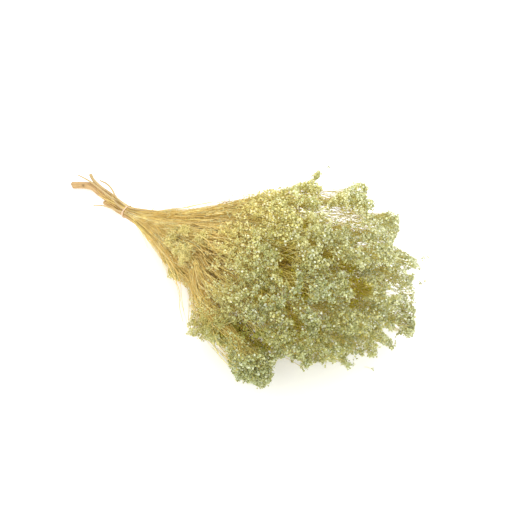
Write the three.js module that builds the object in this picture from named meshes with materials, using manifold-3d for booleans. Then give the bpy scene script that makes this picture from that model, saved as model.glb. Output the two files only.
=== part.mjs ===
// A bunch of dried broom bloom, lying on its side.
// Units are millimetres, +Z is up. The finished group stands on z = 0 with the
// middle of its footprint at the origin; +X runs from the cut ends to the bloom.
//
// The geometry is worked out round the neck, the place where one thin band
// holds the stems. A slightly rising axis runs from the neck into the bloom.
// Across that axis every twig keeps a fixed place q in a unit disc, and the
// disc widens along the axis like a trumpet. Each stem owns one convex cell of
// the disc, so twigs of different stems never cross.

import * as THREE from 'three';
import Module from 'manifold-3d';
import { mergeVertices } from 'three/addons/utils/BufferGeometryUtils.js';

const wasm = await Module();
wasm.setup();

// ---------------------------------------------------------------- dimensions
const NECK_HEIGHT = 22;            // centre of the tied neck above the surface
const AXIS_TILT = 0.165;           // rise of the bloom axis, radians
const NECK_HALF = [8.9, 5.95];     // half width and half height of the bundle
const FLATNESS = 0.60;             // bloom height over bloom width

// half width of the trumpet at distances along the axis
const TRUMPET = [
  [0, 8.9], [12, 11.3], [28, 16.3], [44, 22.0], [64, 30.0], [87, 39.6], [108, 51.5],
  [126, 62.6], [148, 79.0], [170, 95.0], [194, 110], [220, 123], [248, 134],
  [276, 142], [304, 149], [332, 153], [360, 156], [400, 159],
];
// sideways lean of the bundle and the twig fan at distances along the axis
const LEAN = [[0, -2.5], [38, -3.6], [78, -1.7], [118, 0]];

const GAP = 0.36;                  // clearance between neighbouring solids
const BLOOM_START = 122;           // where the fine bloom begins on a twig
const BLOOM_END = 401;             // furthest bloom, on the axis
const BLOOM_ROUNDING = 96;         // how much shorter the outermost bloom is
const BLOOM_SIDES = 10;
const BLOOM_DOME = 38;             // length of a plume's rounded outer end
const TWIG_SIDES = 4;
const TWIG_RADIUS = [1.0, 0.72];   // at the fork and where the bloom begins
const TWIGS_PER_PLUME = 3;
const BAND = { half: 2.2, thick: 1.1, clear: 0.75 };

// Woody stems. neck: place across the bundle and radius at the neck.
// back: centre line from the cut end towards the neck, relative to the neck.
// plumes: places in the unit disc of the bloom plumes that the stem carries.
const STEMS = [
  { // the thick main stem, bent where it leaves the bundle
    neck: [1.5, 0.7], r: [4.7, 4.6, 4.7, 4.35, 4.05, 3.75, 3.65],
    back: [[-108.5, 4.0, -17.3], [-97, 11.9, -16.9], [-84, 16.3, -15.6], [-63.6, 11.4, -12.6], [-43.6, 6.8, -8.8], [-22, 2.4, -3.4]],
    plumes: [[0.251, 0.542], [0.168, 0.087], [0.391, -0.21], [-0.013, 0.467], [0.464, 0.255], [0.092, -0.339], [-0.138, 0.013]],
  },
  { // the second stem, cut close to the neck
    neck: [-5.2, -0.85], r: [2.8, 2.8, 2.75, 2.75],
    back: [[-48.5, 4.6, -16.8], [-31.5, 1.6, -12.5], [-14, -3.6, -6.2]],
    plumes: [[-0.618, -0.44], [-0.815, -0.012], [-0.505, 0.13], [-0.356, -0.253]],
  },
  { // long thin shoot above the main stem
    neck: [-2.3, 4.3], r: [0.8, 1.0, 1.15, 1.2, 1.25, 1.2, 1.2],
    back: [[-110.6, 18, -10], [-99, 18.2, -9.5], [-84.6, 17, -8], [-62, 11.4, -4.0], [-33, 4.6, 0.6], [-14, -2.2, 3.4]],
    plumes: [[-0.123, 0.788], [-0.321, 0.605]],
  },
  { // short cut stub that points away from the bundle
    neck: [6.7, 2.8], r: [2.3, 2.1, 1.9, 1.7, 1.5, 1.45],
    back: [[-95, 27.2, -8], [-86.5, 22.9, -8.8], [-67, 17.4, -7.2], [-43, 13.4, -4.6], [-20, 7.8, -0.6]],
    plumes: [[0.829, 0.311], [0.619, 0.587], [0.674, 0.314]],
  },
  { // thin shoot that arches clear of the bundle
    neck: [2.9, 5.6], r: [0.9, 1.1, 1.2, 1.15, 1.05, 1.0],
    back: [[-75, 25.1, -6], [-57.6, 21.5, 0], [-42.3, 15.5, 3], [-30.2, 8.4, 4.8], [-17.5, 3.6, 5.8]],
    plumes: [[0.162, 0.865], [0.408, 0.774]],
  },
  { // pale shoot on the other side of the second stem
    neck: [-5.35, 3.5], r: [0.7, 0.85, 0.95, 0.95, 0.95],
    back: [[-50, -14.2, -8.2], [-38.6, -8.6, -6], [-23, -7.6, -2.4], [-7.6, -7.9, 2.0]],
    plumes: [[-0.529, 0.578], [-0.733, 0.479]],
  },
  { // three thinner stems under the main one
    neck: [6.9, -1.2], r: [1.8, 1.6, 1.55, 1.55],
    back: [[-50, 12.0, -18.4], [-31, 10.6, -11.6], [-14, 7.0, -4.9]],
    plumes: [[0.669, -0.069], [0.701, -0.406], [0.866, -0.075]],
  },
  {
    neck: [3.75, -4.65], r: [1.6, 1.5, 1.45],
    back: [[-32, 9.0, -18.6], [-18, 6.0, -12.4]],
    plumes: [[0.553, -0.58], [0.391, -0.62], [0.228, -0.70]],
  },
  {
    neck: [-1.3, -4.6], r: [1.6, 1.55, 1.55],
    back: [[-26, 3.6, -17.2], [-13, -1.6, -10.2]],
    plumes: [[-0.314, -0.70], [0.014, -0.70], [-0.158, -0.52]],
  },
];

const COLOURS = {
  wood: 0xcfa873, thin: 0xd8bd84, band: 0xe9c9b4,
  bloom: [0xb9bf8c, 0xc3c795, 0xaab389, 0xb4b77c],
};

// ------------------------------------------------------------------- helpers
const ct = Math.cos(AXIS_TILT), st = Math.sin(AXIS_TILT);
function lean(s) {
  if (s <= LEAN[0][0]) return LEAN[0][1];
  for (let i = 1; i < LEAN.length; i++) {
    if (s <= LEAN[i][0]) {
      const [s0, d0] = LEAN[i - 1], [s1, d1] = LEAN[i];
      return d0 + (d1 - d0) * (s - s0) / (s1 - s0);
    }
  }
  return 0;
}
// s along the bloom axis, y across, w across and upwards
const place = (s, y, w) => new THREE.Vector3(s * ct - w * st, y + lean(s), s * st + w * ct);
const floorAt = (s) => (-NECK_HEIGHT - s * st) / ct;     // lowest w at s

function trumpet(s) {
  if (s <= TRUMPET[0][0]) return TRUMPET[0][1];
  for (let i = 1; i < TRUMPET.length; i++) {
    if (s <= TRUMPET[i][0]) {
      const [s0, g0] = TRUMPET[i - 1], [s1, g1] = TRUMPET[i];
      return g0 + (g1 - g0) * (s - s0) / (s1 - s0);
    }
  }
  return TRUMPET[TRUMPET.length - 1][1];
}
// the bundle is a little rounder at the neck than the bloom is
const NECK_FLATNESS = NECK_HALF[1] / NECK_HALF[0];
const flatness = (s) => s < 12 ? NECK_FLATNESS
  : s < 108 ? NECK_FLATNESS + (FLATNESS - NECK_FLATNESS) * (s - 12) / 96 : FLATNESS;

// smooth repeatable variation between 0 and 1
function wave(a, b, c) {
  const v = Math.sin(a * 2.31 + c) + Math.sin(b * 1.73 + c * 2.1) + Math.sin((a + b) * 1.17 + c * 0.7)
    + 0.7 * Math.sin(a * 3.0 - b * 2.6 + c * 1.9);
  return 0.5 + v / 7.4;
}

function closedTube(points, radii, sides) {
  const n = points.length;
  const pos = [], index = [];
  const tangents = points.map((p, i) => new THREE.Vector3()
    .subVectors(points[Math.min(n - 1, i + 1)], points[Math.max(0, i - 1)]).normalize());
  let normal = new THREE.Vector3(0, 0, 1).addScaledVector(tangents[0], -tangents[0].z).normalize();
  for (let i = 0; i < n; i++) {
    const t = tangents[i];
    normal.addScaledVector(t, -normal.dot(t)).normalize();
    const bi = new THREE.Vector3().crossVectors(t, normal);
    for (let k = 0; k < sides; k++) {
      const a = 2 * Math.PI * k / sides;
      const v = points[i].clone().addScaledVector(normal, Math.cos(a) * radii[i])
        .addScaledVector(bi, Math.sin(a) * radii[i]);
      pos.push(v.x, v.y, v.z);
    }
  }
  pos.push(...points[0].toArray(), ...points[n - 1].toArray());
  const a0 = n * sides, a1 = a0 + 1;
  for (let i = 0; i < n - 1; i++) for (let k = 0; k < sides; k++) {
    const k2 = (k + 1) % sides, p = i * sides, q = p + sides;
    index.push(p + k, p + k2, q + k, p + k2, q + k2, q + k);
  }
  for (let k = 0; k < sides; k++) {
    const k2 = (k + 1) % sides, e = (n - 1) * sides;
    index.push(a0, k2, k, a1, e + k, e + k2);
  }
  const g = new THREE.BufferGeometry();
  g.setAttribute('position', new THREE.Float32BufferAttribute(pos, 3));
  g.setIndex(index);
  return g;
}

function resample(points, radii, count) {
  const curve = new THREE.CatmullRomCurve3(points, false, 'centripetal');
  const out = [], rad = [];
  for (let i = 0; i <= count; i++) {
    const t = i / count;
    out.push(curve.getPoint(t));
    const f = t * (radii.length - 1), k = Math.min(radii.length - 2, Math.floor(f));
    rad.push(radii[k] + (radii[k + 1] - radii[k]) * (f - k));
  }
  return [out, rad];
}

function solid(geometry) {
  const g = geometry.clone();
  g.deleteAttribute('normal');
  g.deleteAttribute('uv');
  const m = mergeVertices(g, 1e-4);
  return new wasm.Manifold(new wasm.Mesh({
    numProp: 3,
    vertProperties: new Float32Array(m.attributes.position.array),
    triVerts: new Uint32Array(m.index.array),
  }));
}

function fromSolid(s) {
  const m = s.getMesh();
  const pos = new Float32Array(m.numVert * 3);
  for (let i = 0; i < m.numVert; i++) for (let k = 0; k < 3; k++) pos[3 * i + k] = m.vertProperties[m.numProp * i + k];
  const g = new THREE.BufferGeometry();
  g.setAttribute('position', new THREE.BufferAttribute(pos, 3));
  g.setIndex(new THREE.BufferAttribute(new Uint32Array(m.triVerts), 1));
  return g;
}

// --------------------------------------------------------------------- cells
// Half planes a.y + b.w <= c that bound one plume at distance s.
function plumeBounds(i, k, s) {
  const G = trumpet(s), F = flatness(s) * G;
  const planes = [];
  const add = (a, b, c) => { const l = Math.hypot(a, b); planes.push([a / l, b / l, c / l - GAP / 2]); };
  const p = STEMS[i].neck, rp = STEMS[i].r.at(-1);
  STEMS.forEach((other, j) => {          // between stems, from the neck layout
    if (j === i) return;
    const q = other.neck, rq = other.r.at(-1);
    const c = (q[0] * q[0] + q[1] * q[1] - rq * rq - p[0] * p[0] - p[1] * p[1] + rp * rp) / 2;
    add((q[0] - p[0]) * NECK_HALF[0] / G, (q[1] - p[1]) * NECK_HALF[1] / F, c);
  });
  if (k !== null) {
    const c0 = STEMS[i].plumes[k];
    STEMS[i].plumes.forEach((d, j) => {  // between plumes of one stem
      if (j === k) return;
      const ax = d[0] - c0[0], ay = (d[1] - c0[1]) * FLATNESS * FLATNESS;
      const c = (d[0] * d[0] - c0[0] * c0[0] + (d[1] * d[1] - c0[1] * c0[1]) * FLATNESS * FLATNESS) / 2;
      add(ax / G, ay / F, c);
    });
  }
  for (let e = 0; e < 24; e++) {         // rim of the trumpet
    const a = 2 * Math.PI * e / 24;
    add(Math.cos(a) / G, Math.sin(a) / F, 1.02);
  }
  return planes;
}

const neckPlace = (i) => [STEMS[i].neck[0] / NECK_HALF[0], STEMS[i].neck[1] / NECK_HALF[1]];

// A twig leaves its stem at the neck and drifts to its own place in the disc.
function twigPoint(i, q, s, room) {
  const c = neckPlace(i);
  const f = Math.min(1, Math.max(0, s / 92));
  const ease = 0.16 + 0.84 * f * (2 - f) * 1.0;
  let u = [c[0] + (q[0] - c[0]) * ease, c[1] + (q[1] - c[1]) * ease];
  const G = trumpet(s), F = flatness(s) * G;
  // keep the whole twig inside its stem's cell
  const planes = plumeBounds(i, null, s);
  const cy = c[0] * G, cw = c[1] * F, dy = u[0] * G - cy, dw = u[1] * F - cw;
  let t = 1;
  for (const [a, b, d] of planes) {
    const den = a * dy + b * dw;
    if (den > 1e-9) t = Math.min(t, Math.max(0, (d - room - a * cy - b * cw) / den));
  }
  return [cy + dy * t, Math.max(cw + dw * t, floorAt(s) + room + 0.5)];
}

// --------------------------------------------------------------------- build
const group = new THREE.Group();
const parts = [];
function addMesh(name, geometry, colour, rough) {
  geometry.computeVertexNormals();
  const mesh = new THREE.Mesh(geometry, new THREE.MeshStandardMaterial({ color: colour, roughness: rough, metalness: 0 }));
  mesh.name = name;
  group.add(mesh);
  parts.push(mesh);
}
const two = (n) => String(n).padStart(2, '0');

const plumes = [];
STEMS.forEach((stem, i) => stem.plumes.forEach((q, k) => {
  const rr = Math.hypot(q[0], q[1]);
  const start = BLOOM_START + 16 * wave(q[0] * 5, q[1] * 5, 1) - 6 * rr;
  const end = BLOOM_END - BLOOM_ROUNDING * Math.pow(rr, 2.2) - 30 * (1 - wave(q[0] * 6, q[1] * 8, 3)) * (rr > 0.3 ? 1 : 0.3);
  plumes.push({ i, k, q, start, end });
}));

STEMS.forEach((stem, i) => {
  // woody stem: cut end, neck, and a short taper into the twigs
  const pts = stem.back.map((p) => new THREE.Vector3(...p));
  const [ny, nw] = stem.neck;
  pts.push(place(0, ny, nw));
  const steps = Math.max(4, Math.round(stem.back.length * 2));
  const [line, rad] = resample(pts, stem.r, steps);
  const r0 = stem.r.at(-1);
  const c = neckPlace(i);
  for (const [s, k] of [[10, 0.93], [20, 0.8], [32, 0.58], [48, 0.3]]) {
    line.push(place(s, c[0] * trumpet(s), c[1] * flatness(s) * trumpet(s)));
    rad.push(Math.max(0.5, r0 * k));
  }
  let body = solid(closedTube(line, rad, r0 > 2.5 ? 11 : 7));

  for (const pl of plumes.filter((p) => p.i === i)) {
    const stop = pl.start - 1.2;
    const G = trumpet(stop), F = flatness(stop) * G;
    for (let n = 0; n < TWIGS_PER_PLUME; n++) {
      const a = 2 * Math.PI * (n / TWIGS_PER_PLUME) + pl.k * 1.3 + i;
      const spread = 0.045;
      const q = [pl.q[0] + spread * Math.cos(a), pl.q[1] + spread / FLATNESS * Math.sin(a)];
      const tp = [], tr = [];
      const stations = [4, 38, 78, stop];
      stations.forEach((s, m) => {
        const f = m / (stations.length - 1);
        const r = TWIG_RADIUS[0] + (TWIG_RADIUS[1] - TWIG_RADIUS[0]) * f;
        const rr = m === 0 ? Math.min(r, r0 * 0.6) : r;
        const yw = m === 0
          ? [ny * trumpet(s) / NECK_HALF[0] + Math.cos(a) * (r0 - rr) * 0.35, nw * trumpet(s) / NECK_HALF[0] + Math.sin(a) * (r0 - rr) * 0.35]
          : twigPoint(i, q, s, rr + 0.12);
        tp.push(place(s, yw[0], yw[1]));
        tr.push(rr);
      });
      body = body.add(solid(closedTube(tp, tr, TWIG_SIDES)));
    }
  }
  addMesh(`stem_${two(i + 1)}`, fromSolid(body), r0 > 2.5 ? COLOURS.wood : COLOURS.thin, 0.8);
});

// bloom plumes: soft, lumpy, rounded at both ends, flat where they rest
plumes.forEach((pl, n) => {
  const L = pl.end - pl.start;
  const shape = [pl.start, pl.start + 7, pl.end - 15, pl.end - 5, pl.end];
  const stations = [...shape, ...TRUMPET.map((t) => t[0])
    .filter((s) => s > pl.start + 16 && s < pl.end - 5 && shape.every((d) => Math.abs(d - s) > 5))].sort((a, b) => a - b);
  const pos = [], index = [];
  stations.forEach((s, m) => {
    const t = (s - pl.start) / L;
    let prof = 1;
    if (t < 0.3) prof = Math.sqrt(Math.max(0, 1 - Math.pow(1 - t / 0.3, 2)));
    const d = s - pl.end + BLOOM_DOME;
    if (d > 0) prof = Math.sqrt(Math.max(0, 1 - Math.pow(d / BLOOM_DOME, 2)));
    prof = Math.max(prof, m === 0 ? 0.3 : 0.2);
    const G = trumpet(s), F = flatness(s) * G;
    const cy = pl.q[0] * G, low = floorAt(s);
    const cw = Math.max(pl.q[1] * F, low + 4);
    const planes = plumeBounds(pl.i, pl.k, s);
    const inside = planes.every(([a, b, d]) => a * cy + b * cw < d - 0.5);
    for (let e = 0; e < BLOOM_SIDES; e++) {
      const a = 2 * Math.PI * e / BLOOM_SIDES + 0.13 * n;
      const dy = Math.cos(a), dw = Math.sin(a);
      let reach = 60;
      for (const [pa, pb, d] of planes) {
        const den = pa * dy + pb * dw;
        if (den > 1e-9) reach = Math.min(reach, (d - pa * cy - pb * cw) / den);
      }
      const lump = 1 - 0.3 * wave(e * 1.15, s * 0.085, n * 1.7);
      let rho = Math.max(0.3, reach * prof * lump);
      let w = cw + dw * rho;
      let y = cy + dy * rho;
      if (w < low) w = low;               // flattened on the surface
      const v = place(s, y, w);
      pos.push(v.x, v.y, v.z);
    }
    if (!inside) throw new Error(`plume ${n} leaves its cell at ${s}`);
    if (m === 0 || m === stations.length - 1) pl[m === 0 ? 'c0' : 'c1'] = place(s, cy, cw);
  });
  const S = BLOOM_SIDES, M = stations.length;
  pos.push(...pl.c0.toArray(), ...pl.c1.toArray());
  for (let m = 0; m < M - 1; m++) for (let e = 0; e < S; e++) {
    const e2 = (e + 1) % S, p = m * S, q = p + S;
    index.push(p + e, p + e2, q + e, p + e2, q + e2, q + e);
  }
  for (let e = 0; e < S; e++) {
    const e2 = (e + 1) % S, q = (M - 1) * S;
    index.push(M * S, e2, e, M * S + 1, q + e, q + e2);
  }
  const g = new THREE.BufferGeometry();
  g.setAttribute('position', new THREE.Float32BufferAttribute(pos, 3));
  g.setIndex(index);
  addMesh(`bloom_${two(pl.i + 1)}_${pl.k + 1}`, g, COLOURS.bloom[n % 4], 0.95);
});

// the band: one closed loop drawn tight round the outline of the bundle
{
  const sides = 32;
  const outline = (grow) => {
    const out = [];
    for (let e = 0; e < sides; e++) {
      const a = 2 * Math.PI * e / sides, uy = Math.cos(a), uw = Math.sin(a);
      let best = -1e9, pick = null;
      STEMS.forEach((s) => {
        const h = s.neck[0] * uy + s.neck[1] * uw + s.r.at(-1);
        if (h > best) { best = h; pick = s; }
      });
      const r = pick.r.at(-1) + grow;
      out.push([pick.neck[0] + uy * r, pick.neck[1] + uw * r]);
    }
    return out;
  };
  const h = BAND.half, c = BAND.clear, t = BAND.thick;
  const profile = [[-h, c], [-h, c + t * 0.7], [-h * 0.5, c + t], [0, c + t * 0.62], [h * 0.5, c + t], [h, c + t * 0.7], [h, c]];
  const pos = [], index = [];
  profile.forEach(([s, grow]) => outline(grow).forEach(([y, w]) => { const v = place(s, y, w); pos.push(v.x, v.y, v.z); }));
  const R = profile.length;
  for (let m = 0; m < R; m++) for (let e = 0; e < sides; e++) {
    const e2 = (e + 1) % sides, p = m * sides, q = ((m + 1) % R) * sides;
    index.push(p + e, p + e2, q + e, p + e2, q + e2, q + e);
  }
  const g = new THREE.BufferGeometry();
  g.setAttribute('position', new THREE.Float32BufferAttribute(pos, 3));
  g.setIndex(index);
  addMesh('tie_band', g, COLOURS.band, 0.6);
}

// stand the bunch on z = 0 with the middle of its footprint at the origin
const box = new THREE.Box3();
parts.forEach((m) => { m.geometry.computeBoundingBox(); box.union(m.geometry.boundingBox); });
group.position.set(-(box.min.x + box.max.x) / 2, -(box.min.y + box.max.y) / 2, -box.min.z);
group.updateMatrixWorld(true);

export default group;
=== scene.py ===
# Looks of a bunch of dried broom bloom that lies on its side.
# Lengths are worked out in millimetres from the tied neck and written in metres.
import math
import bpy
import numpy as np
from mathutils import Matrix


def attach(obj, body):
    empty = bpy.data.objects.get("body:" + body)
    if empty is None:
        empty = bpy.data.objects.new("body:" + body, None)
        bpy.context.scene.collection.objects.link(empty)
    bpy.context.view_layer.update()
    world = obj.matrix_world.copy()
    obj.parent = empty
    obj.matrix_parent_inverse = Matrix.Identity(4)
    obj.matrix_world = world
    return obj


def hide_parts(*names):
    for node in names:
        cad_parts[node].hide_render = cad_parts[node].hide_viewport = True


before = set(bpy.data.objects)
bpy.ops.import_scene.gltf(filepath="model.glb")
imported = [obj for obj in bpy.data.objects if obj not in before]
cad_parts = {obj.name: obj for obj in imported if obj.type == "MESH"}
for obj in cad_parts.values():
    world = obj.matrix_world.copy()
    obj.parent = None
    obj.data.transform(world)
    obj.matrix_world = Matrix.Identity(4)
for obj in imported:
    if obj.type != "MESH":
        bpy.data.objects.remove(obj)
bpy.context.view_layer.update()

rng = np.random.default_rng(20517)

# ------------------------------------------------------------------ the frame
NECK = np.array([-141.00, -0.21, 22.0])       # the tied neck, as in the CAD model
TILT = 0.165
NECK_HALF = np.array([8.9, 5.95])
FLATNESS = 0.60
TRUMPET = np.array([
    [0, 8.9], [12, 11.3], [28, 16.3], [44, 22.0], [64, 30.0], [87, 39.6], [108, 51.5],
    [126, 62.6], [148, 79.0], [170, 95.0], [194, 110], [220, 123], [248, 134],
    [276, 142], [304, 149], [332, 153], [360, 156], [400, 159]], float)
LEAN = np.array([[0, -2.5], [38, -3.6], [78, -1.7], [118, 0]], float)
CT, ST = math.cos(TILT), math.sin(TILT)
AX = np.array([CT, 0, ST]); AY = np.array([0, 1.0, 0]); AW = np.array([-ST, 0, CT])
FLOOR = -NECK[2]

# each stem: centre line before the neck, place in the bundle, radii along it
STEMS = [
    dict(neck=(1.5, 0.7), r=(4.7, 4.6, 4.7, 4.35, 4.05, 3.75, 3.65),
         back=[(-108.5, 4.0, -17.3), (-97, 11.9, -16.9), (-84, 16.3, -15.6), (-63.6, 11.4, -12.6), (-43.6, 6.8, -8.8), (-22, 2.4, -3.4)]),
    dict(neck=(-5.2, -0.85), r=(2.8, 2.8, 2.75, 2.75),
         back=[(-48.5, 4.6, -16.8), (-31.5, 1.6, -12.5), (-14, -3.6, -6.2)]),
    dict(neck=(-2.3, 4.3), r=(0.8, 1.0, 1.15, 1.2, 1.25, 1.2, 1.2),
         back=[(-110.6, 18, -10), (-99, 18.2, -9.5), (-84.6, 17, -8), (-62, 11.4, -4.0), (-33, 4.6, 0.6), (-14, -2.2, 3.4)]),
    dict(neck=(6.7, 2.8), r=(2.3, 2.1, 1.9, 1.7, 1.5, 1.45),
         back=[(-95, 27.2, -8), (-86.5, 22.9, -8.8), (-67, 17.4, -7.2), (-43, 13.4, -4.6), (-20, 7.8, -0.6)]),
    dict(neck=(2.9, 5.6), r=(0.9, 1.1, 1.2, 1.15, 1.05, 1.0),
         back=[(-75, 25.1, -6), (-57.6, 21.5, 0), (-42.3, 15.5, 3), (-30.2, 8.4, 4.8), (-17.5, 3.6, 5.8)]),
    dict(neck=(-5.35, 3.5), r=(0.7, 0.85, 0.95, 0.95, 0.95),
         back=[(-50, -14.2, -8.2), (-38.6, -8.6, -6), (-23, -7.6, -2.4), (-7.6, -7.9, 2.0)]),
    dict(neck=(6.9, -1.2), r=(1.8, 1.6, 1.55, 1.55),
         back=[(-50, 12.0, -18.4), (-31, 10.6, -11.6), (-14, 7.0, -4.9)]),
    dict(neck=(3.75, -4.65), r=(1.6, 1.5, 1.45),
         back=[(-32, 9.0, -18.6), (-18, 6.0, -12.4)]),
    dict(neck=(-1.3, -4.6), r=(1.6, 1.55, 1.55),
         back=[(-26, 3.6, -17.2), (-13, -1.6, -10.2)]),
]
PLUMES = [7, 4, 2, 3, 2, 2, 3, 3, 3]

# Bloom heads: distance along the axis, place in the disc, radius in mm,
# tone (0 yellow green, 1 sage).
HEADS = [
    (225, 0.72, 0.63, 20.3, 0.2), (213, 0.47, 0.70, 16.5, 0.1), (206, 0.17, 0.84, 15.0, 0.2), (208, -0.17, 0.85, 13.5, 0.2),
    (287, 0.81, 0.62, 14.0, 0.3), (291, 0.50, 0.76, 11.3, 0.2), (340, 0.57, 0.52, 12.3, 0.4), (371, 0.44, 0.29, 13.3, 0.5),
    (388, 0.26, 0.15, 12.0, 0.4), (395, 0.18, -0.19, 13.2, 0.5), (392, -0.03, -0.28, 9.8, 0.5), (387, -0.30, 0.00, 14.7, 0.3),
    (368, -0.50, 0.19, 15.4, 0.4), (347, -0.64, 0.32, 14.2, 0.5), (306, -0.84, 0.01, 18.8, 0.8), (211, -0.88, -0.13, 14.6, 0.7),
    (273, 0.11, 0.83, 18.7, 0.3), (312, 0.13, 0.86, 16.1, 0.3), (334, 0.32, 0.73, 16.3, 0.2), (250, -0.19, 0.83, 16.3, 0.4),
    (238, -0.40, 0.76, 15.2, 0.2), (324, -0.17, 0.83, 17.7, 0.2), (346, 0.01, 0.72, 16.8, 0.2), (367, 0.21, 0.51, 16.1, 0.3),
    (272, -0.45, 0.72, 16.9, 0.7), (250, -0.68, 0.55, 13.9, 0.3), (338, -0.35, 0.69, 16.4, 0.9), (359, -0.21, 0.60, 13.4, 0.5),
    (386, 0.03, 0.31, 14.8, 0.2), (294, -0.65, 0.57, 15.5, 0.4), (350, -0.48, 0.48, 17.3, 0.6), (375, -0.30, 0.35, 16.5, 0.3),
    (391, -0.14, 0.15, 12.6, 0.2), (330, -0.68, 0.47, 14.2, 0.4), (265, -0.80, 0.39, 12.7, 0.4), (312, -0.55, 0.72, 11.2, 0.7),
    (272, -0.08, 0.87, 14.0, 0.3),
    # small tufts that stand out of the outline
    (232, 0.88, 0.86, 5.9, 0.5), (130, -0.84, -0.05, 6.5, 0.5), (112, -0.56, 0.72, 6.5, 0.4), (212, -1.02, -0.12, 5.6, 0.6),
    (281, 1.06, 0.57, 4.8, 0.3), (382, -0.45, -0.05, 5.2, 0.5), (356, -0.68, 0.10, 5.1, 0.5), (384, -0.29, -0.36, 4.3, 0.5),
    (380, 0.57, 0.07, 4.5, 0.6), (393, 0.41, -0.04, 3.4, 0.6), (380, 0.62, 0.10, 3.4, 0.6), (199, 0.77, 0.78, 4.8, 0.4),
    (278, 0.50, 0.80, 6.8, 0.3),
    (131, -0.62, 0.68, 6.5, 0.4), (157, -0.62, 0.69, 7.2, 0.5), (164, -0.34, 0.85, 5.5, 0.4), (128, -0.34, 0.85, 5.0, 0.3),
    (402, 0.15, -0.24, 12.0, 0.5), (401, 0.23, -0.15, 11.5, 0.5), (378, 0.44, -0.10, 11.0, 0.5), (366, 0.60, -0.07, 11.0, 0.5),
    (392, 0.29, -0.07, 11.0, 0.5), (394, -0.10, -0.29, 9.5, 0.5),
    (388, 0.20, -0.52, 9.8, 0.5), (392, 0.25, -0.52, 10.0, 0.5), (393, 0.34, -0.38, 9.6, 0.5), (229, 0.82, 0.79, 6.5, 0.5),
]

def trumpet(s):
    return np.interp(s, TRUMPET[:, 0], TRUMPET[:, 1])


def flat(s):
    return np.interp(s, [12, 108], [NECK_HALF[1] / NECK_HALF[0], FLATNESS])


def lean(s):
    return np.interp(s, LEAN[:, 0], LEAN[:, 1])


def at(s, y, w):
    s, y, w = np.broadcast_arrays(np.asarray(s, float), y, w)
    return s[..., None] * AX + (y + lean(s))[..., None] * AY + w[..., None] * AW


def at_q(s, q1, q2):
    g = trumpet(s)
    return at(s, g * q1, flat(s) * g * q2)


def unit(v):
    return v / np.maximum(np.linalg.norm(v, axis=-1, keepdims=True), 1e-12)


def above_floor(p, low=3.0):
    """Points that would sink in are pressed up to lie just over the surface."""
    z = p[..., 2] - FLOOR
    z = np.where(z > low, z, low * np.exp(np.minimum(0, (z - low) / (4 * low))))
    out = p.copy(); out[..., 2] = z + FLOOR
    return out


NECKS = np.array([s["neck"] for s in STEMS]); RADII = np.array([s["r"][-1] for s in STEMS])


def owner(q):
    p = q * NECK_HALF
    return (((p[:, None, :] - NECKS[None]) ** 2).sum(-1) - RADII[None] ** 2).argmin(1)


# ------------------------------------------------------------------ mesh tools
class Bag:
    """Collects tubes, florets and their tints for one piece."""

    def __init__(self):
        self.co, self.tri, self.quad, self.tint, self.n = [], [], [], [], 0

    def add(self, co, tri=None, quad=None, tint=None):
        if tri is not None and len(tri):
            self.tri.append(tri.reshape(-1, 3) + self.n)
        if quad is not None and len(quad):
            self.quad.append(quad.reshape(-1, 4) + self.n)
        self.co.append(co.reshape(-1, 3)); self.tint.append(tint.reshape(-1, 3))
        self.n += len(self.co[-1])

    def mesh(self, name, smooth=True, keep_over_floor=True):
        co = np.concatenate(self.co)
        if keep_over_floor:
            co[:, 2] = np.maximum(co[:, 2], FLOOR + 0.15)
        co = (co + NECK) * 0.001
        tri = np.concatenate(self.tri) if self.tri else np.zeros((0, 3), int)
        quad = np.concatenate(self.quad) if self.quad else np.zeros((0, 4), int)
        tint = np.concatenate(self.tint)
        me = bpy.data.meshes.new(name)
        me.vertices.add(len(co)); me.vertices.foreach_set("co", co.astype(np.float32).ravel())
        loops = np.concatenate([tri.ravel(), quad.ravel()]).astype(np.int32)
        starts = np.concatenate([np.arange(len(tri)) * 3, len(tri) * 3 + np.arange(len(quad)) * 4]).astype(np.int32)
        me.loops.add(len(loops)); me.loops.foreach_set("vertex_index", loops)
        me.polygons.add(len(starts)); me.polygons.foreach_set("loop_start", starts)
        me.polygons.foreach_set("use_smooth", np.full(len(starts), smooth, bool))
        me.update(calc_edges=True)
        a = me.attributes.new("tint", "FLOAT_COLOR", "POINT")
        rgba = np.ones((len(co), 4), np.float32); rgba[:, :3] = tint
        a.data.foreach_set("color", rgba.ravel())
        me.validate()
        ob = bpy.data.objects.new(name, me)
        bpy.context.scene.collection.objects.link(ob)
        return ob, len(tri) + 2 * len(quad)


def frames(P):
    T = np.empty_like(P)
    T[:, 1:-1] = P[:, 2:] - P[:, :-2]; T[:, 0] = P[:, 1] - P[:, 0]; T[:, -1] = P[:, -1] - P[:, -2]
    T = unit(T)
    mean = unit(T.mean(1))
    ref = np.where(np.abs(mean[:, 2:3]) < 0.8, np.array([[0, 0, 1.0]]), np.array([[1.0, 0, 0]]))
    N1 = unit(np.cross(T, ref[:, None, :]))
    N2 = np.cross(T, N1)
    return T, N1, N2


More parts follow.
